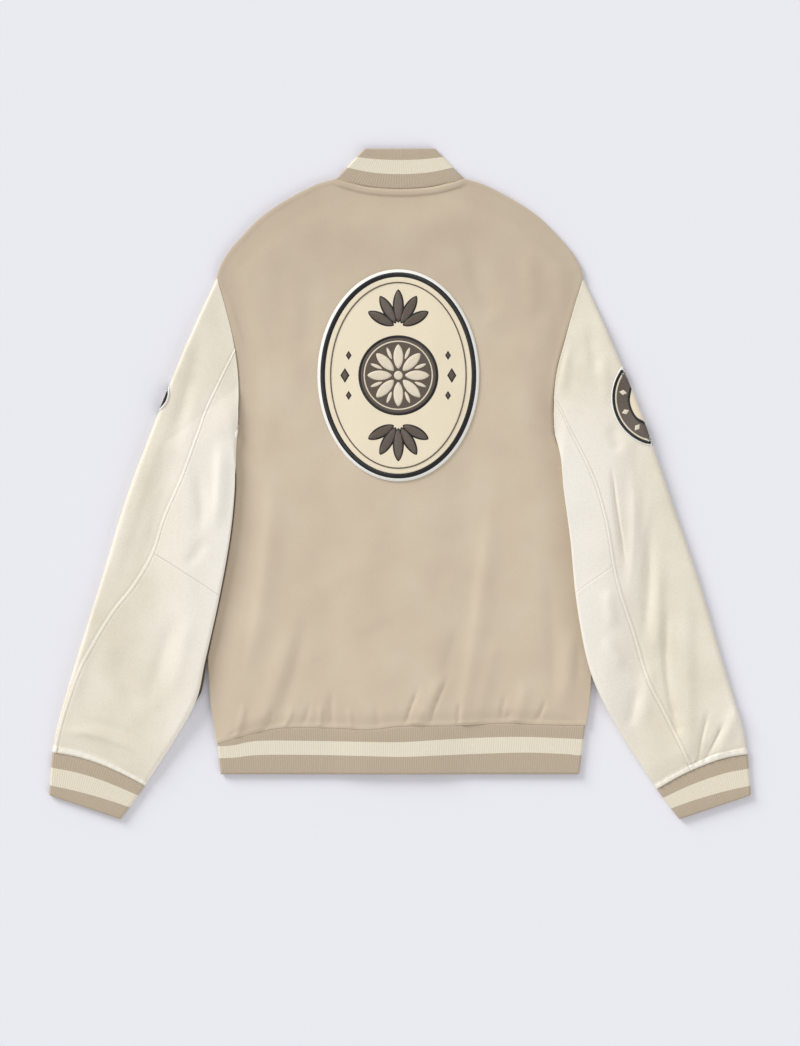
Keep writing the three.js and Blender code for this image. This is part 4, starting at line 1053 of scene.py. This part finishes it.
# painted shadow: dark brown for the crack beside the left sleeve
edge_shadow_material, tree, shader, place = new_material("painted_edge_shadow", Roughness=0.7)
paint(tree, shader, blend(tree, noise(tree, place, 900), linear("#4a3b2e"), linear("#6a5644")))
add_bump(tree, shader, noise(tree, place, 2200), 0.0002, 0.5)
edge_shadow = cloth("sleeve_left_painted_edge_shadow", 5, 260, edge_shadow_shape, edge_shadow_material, 0.5)


# The patches: felt ovals and discs covered with satin stitch and twill in cream, brown and black, sewn flat
# on the cloth. They carry a plain ornament of rosettes, leaves and diamonds.
BACK_PATCH_CENTRE = (-2, 130)
THREAD = 0.55


def oval(half_a, half_b):
    return lambda turn: (half_a * np.cos(turn), half_b * np.sin(turn))


def leaf(length, width):
    return lambda turn: (length / 2 * np.cos(turn), width / 2 * np.sin(turn) * np.abs(np.sin(turn)) ** 0.4)


def diamond(half_a, half_b):
    def at(turn):
        reach = np.abs(np.cos(turn)) + np.abs(np.sin(turn))
        return half_a * np.cos(turn) / reach, half_b * np.sin(turn) / reach
    return at


def filled(outline, centre=(0, 0), heading=0.0):
    """A shape turned to a heading and set at a centre, filled with stitches across its heading"""
    cos, sin = np.cos(heading), np.sin(heading)

    def at(turn):
        a, b = outline(turn)
        return centre[0] + a * cos - b * sin, centre[1] + a * sin + b * cos
    return at, lambda turn: (centre[0] + 0 * turn, centre[1] + 0 * turn), heading


def ring(outer, inner):
    """A round band between two radii, with stitches across it"""
    return oval(outer, outer), oval(inner, inner), None


def rosette(petals, near, far, width, start=0.0):
    """Leaves set round a centre, from one radius to the other"""
    for i in range(petals):
        heading = start + 2 * np.pi * i / petals
        centre = ((near + far) / 2 * np.cos(heading), (near + far) / 2 * np.sin(heading))
        yield filled(leaf(far - near, width), centre, heading)


def sewn_on(name, shapes, surface, lift, dome, material, rings, spokes, thickness=0.4):
    """Shapes of one colour laid on a surface, each on rings of its own; dome is how far stitches stand up"""
    bm = bmesh.new()
    uv_layer = bm.loops.layers.uv.new("UVMap")
    for outer, inner, heading in shapes:
        grid = bmesh.ops.create_grid(bm, x_segments=spokes, y_segments=rings, size=0.5, calc_uvs=True)
        made = grid["verts"]
        around, out = np.array([vert.co[:2] for vert in made]).T + 0.5
        turn = -2 * np.pi * around
        (outer_a, outer_b), (inner_a, inner_b) = outer(turn), inner(turn)
        a, b = mix(inner_a, outer_a, out), mix(inner_b, outer_b, out)
        rise = np.sin(np.pi * out) if heading is None else np.sqrt(np.clip(1 - out ** 2, 0, 1))
        rim = np.hypot(outer_a - inner_a, outer_b - inner_b).mean()
        round_rim = 2 * np.pi * np.hypot(outer_a - outer_a.mean(), outer_b - outer_b.mean()).mean()
        for vert, place in zip(made, surface(a, b, lift + dome * rise) * MM):
            vert.co = place
        for face in {face for vert in made for face in vert.link_faces}:
            for loop in face.loops:
                u, v = loop[uv_layer].uv
                loop[uv_layer].uv = (u * round(round_rim / THREAD), v * rim / THREAD)
        if heading is not None:
            slant = heading + 0.5
            for vert, vert_a, vert_b in zip(made, a, b):
                count = (vert_a * np.cos(slant) + vert_b * np.sin(slant)) / THREAD
                for loop in vert.link_loops:
                    loop[uv_layer].uv[0] = count
    bmesh.ops.remove_doubles(bm, verts=bm.verts, dist=0.01 * MM)
    piece = finish_piece(name, bm, material, thickness)
    return piece


def felt_material(name, low, high):
    """Pressed felt: a matted surface without a weave"""
    made, tree, shader, place = new_material(name, Roughness=0.95, Sheen_Weight=0.3, Sheen_Roughness=0.6,
                                             Specular_IOR_Level=0.2)
    mat = noise(tree, place, 1100, 5, 0.7)
    paint(tree, shader, blend(tree, ramp(tree, mat, 0.3, 0.7), linear(low), linear(high)))
    add_bump(tree, shader, mat, 0.0004, 0.6)
    return made


def thread_material(name, low, high):
    """Satin stitch: glossy threads side by side, each a rounded line, with painted shade in the grooves
    between them
    """
    made, tree, shader, place = new_material(name, Roughness=0.48, Sheen_Weight=0.25, Sheen_Roughness=0.3,
                                             Specular_IOR_Level=0.35)
    count = split(tree, add_node(tree, "ShaderNodeUVMap").outputs[0])[0]
    wobble = maths(tree, "MULTIPLY", noise(tree, place, 260, 2), 0.8)
    line = from_line(tree, maths(tree, "ADD", count, wobble))
    tone = blend(tree, noise(tree, place, 380, 3), linear(low), linear(high))
    # painted shade in the grooves between threads
    painted_groove_shade = blend(tree, ramp(tree, line, 0.5, 0.3), (0.72, 0.7, 0.68, 1), (1, 1, 1, 1))
    paint(tree, shader, blend(tree, 1.0, tone, painted_groove_shade, "MULTIPLY"))
    add_bump(tree, shader, maths(tree, "SUBTRACT", 0.5, line), 0.0004, 0.7)
    return made


WHITE_FELT = felt_material("patch_white_felt", "#eeeae2", "#fbf9f4")
CREAM_THREAD = thread_material("patch_cream_thread", "#e9dcc2", "#f3e8d2")
CREAM_GROUND = felt_material("patch_cream_twill", "#e6d8bb", "#efe2c8")
BROWN_THREAD = thread_material("patch_brown_thread", "#5a4f46", "#6d6156")
BLACK_THREAD = thread_material("patch_black_thread", "#100f10", "#1e1c1d")


def on_back(a, b, lift):
    x, y = BACK_PATCH_CENTRE[0] + a, BACK_PATCH_CENTRE[1] + b
    return np.stack([x, y, back_top(x, y) + lift], -1)


def fan(centre_b, up):
    """Where the leaves of a fan lie, above or below the middle"""
    for degrees, length in [(90, 40), (60, 38), (120, 38), (28, 35), (152, 35)]:
        heading = np.radians(degrees) * up
        reach = 6 + length / 2
        yield (reach * np.cos(heading), centre_b + reach * np.sin(heading)), heading, length


def fans_and_marks(slimmer, width, off_a, off_b):
    """The two fans of leaves and the six diamonds, made smaller by so much"""
    marks = [(sign * 64, 0, 5.5, 9) for sign in (-1, 1)]
    marks += [(sign * 59.5, level, 3.5, 5.5) for sign in (-1, 1) for level in (-24, 24)]
    for centre, heading, length in [*fan(57, 1), *fan(-57, -1)]:
        yield filled(leaf(length - slimmer, width), centre, heading)
    for a, b, half_a, half_b in marks:
        yield filled(diamond(half_a - off_a, half_b - off_b), (a, b))


felt = sewn_on("back_patch_felt", [filled(oval(97, 127))], on_back, 1.5, 0, WHITE_FELT, 24, 120, 1.2)
ground = sewn_on("back_patch_ground", [filled(oval(90, 120))], on_back, 1.7, 0, CREAM_GROUND, 30, 120)
border = sewn_on("back_patch_border", [(oval(93.5, 123.5), oval(87.5, 117.5), None)], on_back, 1.6, 0.9,
                 BLACK_THREAD, 8, 200)
brown = sewn_on("back_patch_brown", [
    (oval(82, 112), oval(80.4, 110.4), None), *fans_and_marks(3.4, 10.5, 1.4, 2),
], on_back, 1.95, 0.5, BROWN_THREAD, 4, 72)
roundel = sewn_on("back_patch_roundel", [filled(oval(45.5, 45.5))], on_back, 1.95, 0.12, BROWN_THREAD, 22, 88)
black = sewn_on("back_patch_black", [ring(48, 44.4), *fans_and_marks(0, 13.5, 0, 0)], on_back, 1.8, 0.4,
                BLACK_THREAD, 4, 64)
cream = sewn_on("back_patch_cream", [
    ring(41.6, 40), *rosette(8, 8, 37, 11.5), *rosette(8, 21, 36, 4, np.pi / 8), filled(oval(5.2, 5.2)),
], on_back, 2.1, 0.45, CREAM_THREAD, 4, 56)
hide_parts("back_patch")


def on_sleeve(side):
    """A sleeve patch lies round the outer edge, with its middle on the under side"""
    sleeve, sign = sleeves[side], SIGN[side]
    out_x, out_y = sleeve["patch_out"]

    def surface(a, b, lift):
        past_fold = -SLEEVES[side]["patch"]["beyond"] - sign * a
        inward = np.abs(past_fold)
        x = sleeve["patch_edge"][0] - out_x * inward - sign * out_y * b
        y = sleeve["patch_edge"][1] - out_y * inward + sign * out_x * b
        across, along = sleeve["locate"](x, y)
        across = mix(inward, across * sleeve["width"](along), smooth(2, 7, inward))
        extra = (EDGE_RADIUS + lift) * np.pi / 2 - EDGE_RADIUS
        c = np.sign(past_fold) * (across + extra * np.clip(inward / 7, 0, 1))
        return sleeve["at"](along, c, depth=-lift)
    return surface


for side in SIGN:
    radius = SLEEVES[side]["patch"]["radius"]
    on_it, name = on_sleeve(side), f"sleeve_patch_{side}_"
    band = {"left": 5.5, "right": 2.6}[side]
    scale = (radius - 5 - band) / 51.4
    outer, inner = radius - 2.4 - band, 38 * scale
    marks_at = (outer - 1.8 + inner) / 2
    diamonds = [filled(diamond(4.8 * scale, 3.2 * scale), (marks_at * np.cos(t), marks_at * np.sin(t)), t)
                for t in np.arange(12) * np.pi / 6]
    felt = sewn_on(name + "base", [filled(oval(radius, radius))], on_it, 0.9, 0, WHITE_FELT, 28, 96, 0.6)
    brown = sewn_on(name + "brown", [ring(outer, inner)], on_it, 1.05, 0.05, BROWN_THREAD, 16, 120, 0.3)
    cream = sewn_on(name + "cream", [ring(outer + 0.3, outer - 1.7), *diamonds], on_it, 1.1, 0.35,
                    CREAM_THREAD, 4, 72)
    centre = sewn_on(name + "centre", [filled(oval(inner, inner))], on_it, 1.05, 0, CREAM_GROUND, 24, 96, 0.3)
    rings = [ring(radius - 1.3, outer), ring(inner + 1.3, inner - 1.3)]
    black = sewn_on(name + "marks", [*rings, *rosette(8, 6 * scale, 27 * scale, 9 * scale)], on_it, 1.12,
                    0.35, BLACK_THREAD, 4, 72)
    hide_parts(f"sleeve_patch_{side}")


# The topstitching: one row of thread in the colour of the cloth beside each welt and ridge, sewn through
# both layers of the seam.
STITCH_LENGTH, STITCH_PITCH, STITCH_WIDTH = 2.1, 3.0, 0.42


def stitch_row(bm, path):
    """Sets stitches along a line of places"""
    lengths = np.r_[0, np.cumsum(np.linalg.norm(np.diff(path, axis=0), axis=1))]
    starts = np.arange(STITCH_PITCH / 2, lengths[-1] - STITCH_LENGTH, STITCH_PITCH)
    first, last = (np.stack([np.interp(starts + shift, lengths, path[:, axis]) for axis in range(3)], -1)
                   for shift in (0, STITCH_LENGTH))
    thick = STITCH_WIDTH / 2 * MM
    size = Matrix.Diagonal((STITCH_LENGTH / 2 * MM, thick, thick, 1))
    for begin, end in zip(first * MM, last * MM):
        turn = Vector(end - begin).to_track_quat("X", "Z").to_matrix().to_4x4()
        place = Matrix.Translation(Vector((begin + end) / 2)) @ turn @ size
        bmesh.ops.create_icosphere(bm, subdivisions=1, radius=1, matrix=place)


def stitch_material(name, low, high):
    made, tree, shader, place = new_material(name, Roughness=0.6, Sheen_Weight=0.2, Sheen_Roughness=0.4)
    twist = noise(tree, place, 2500, 2)
    paint(tree, shader, blend(tree, twist, linear(low), linear(high)))
    add_bump(tree, shader, twist, 0.0001, 0.5)
    return made


CREAM_STITCH = stitch_material("sleeve_thread", "#ded6c4", "#efe9db")
WOOL_STITCH = stitch_material("body_thread", "#c0ae94", "#d2c2a9")
for side in SIGN:
    sleeve = sleeves[side]
    bm = bmesh.new()
    s = np.linspace(0.012, 0.978, 400)
    c = sleeve["seam"](s) * sleeve["width"](s) + ROUND_EXTRA - WELT_WIDTH - 0.9
    stitch_row(bm, sleeve["at"](s, c) + (0, 0, 0.15))
    around = np.linspace(6, sleeve["width"](1.0) + ROUND_EXTRA - 6, 90)
    stitch_row(bm, sleeve["at"](np.full(90, 1 - 8.9 / SLEEVE_LENGTH), around) + (0, 0, 0.2))
    stitches = finish_piece(f"sleeve_{side}_stitches", bm, CREAM_STITCH)
bm = bmesh.new()
neck_stitches = beside(neck_line, -9.2)(np.linspace(0.03, 0.97, 120))
height = back_top(neck_stitches[:, 0], neck_stitches[:, 1]) + 0.2
stitch_row(bm, np.column_stack([neck_stitches, height]))
stitches = finish_piece("back_neck_stitches", bm, WOOL_STITCH)


# The stage: a plain floor of pale paper, the camera straight above it, and two wide suns, a strong one from
# the upper left and a weak one from the lower right, in a pale room.
CAMERA_HEIGHT = 6.0
VIEW_HEIGHT = 1.2552
floor_mesh = bmesh.new()
bmesh.ops.create_grid(floor_mesh, x_segments=1, y_segments=1, size=6)
bmesh.ops.translate(floor_mesh, verts=floor_mesh.verts, vec=(0, 0, -0.0003))
mesh = bpy.data.meshes.new("floor")
floor_mesh.to_mesh(mesh)
floor_mesh.free()
floor = bpy.data.objects.new("floor", mesh)
bpy.context.scene.collection.objects.link(floor)
floor_material, tree, shader, place = new_material("floor_paper", Roughness=0.9)
shader.inputs["Base Color"].default_value = linear("#e9e8ee")
floor.data.materials.append(floor_material)

camera_data = bpy.data.cameras.new("camera")
camera = bpy.data.objects.new("camera", camera_data)
camera.location = (0, -0.0468, CAMERA_HEIGHT)
camera_data.sensor_width = 36
camera_data.lens = 36 * CAMERA_HEIGHT / VIEW_HEIGHT
camera_data.clip_end = 30
bpy.context.scene.collection.objects.link(camera)
bpy.context.scene.camera = camera

suns = [("key", 2.6, 28, (1.0, -1.0, -0.56)), ("fill", 0.85, 40, (-1.0, 1.0, -0.7))]
for name, energy, angle, direction in suns:
    light_data = bpy.data.lights.new(name, "SUN")
    light_data.angle = np.radians(angle)
    light_data.energy = energy
    light = bpy.data.objects.new(name, light_data)
    light.rotation_euler = Vector(direction).to_track_quat("-Z", "Y").to_euler()
    bpy.context.scene.collection.objects.link(light)
world = bpy.data.worlds.new("soft_room")
world.use_nodes = True
background = world.node_tree.nodes["Background"]
background.inputs[0].default_value = (0.97, 0.98, 1, 1)
background.inputs[1].default_value = 0.6
bpy.context.scene.world = world
bpy.context.scene.view_settings.view_transform = "Standard"
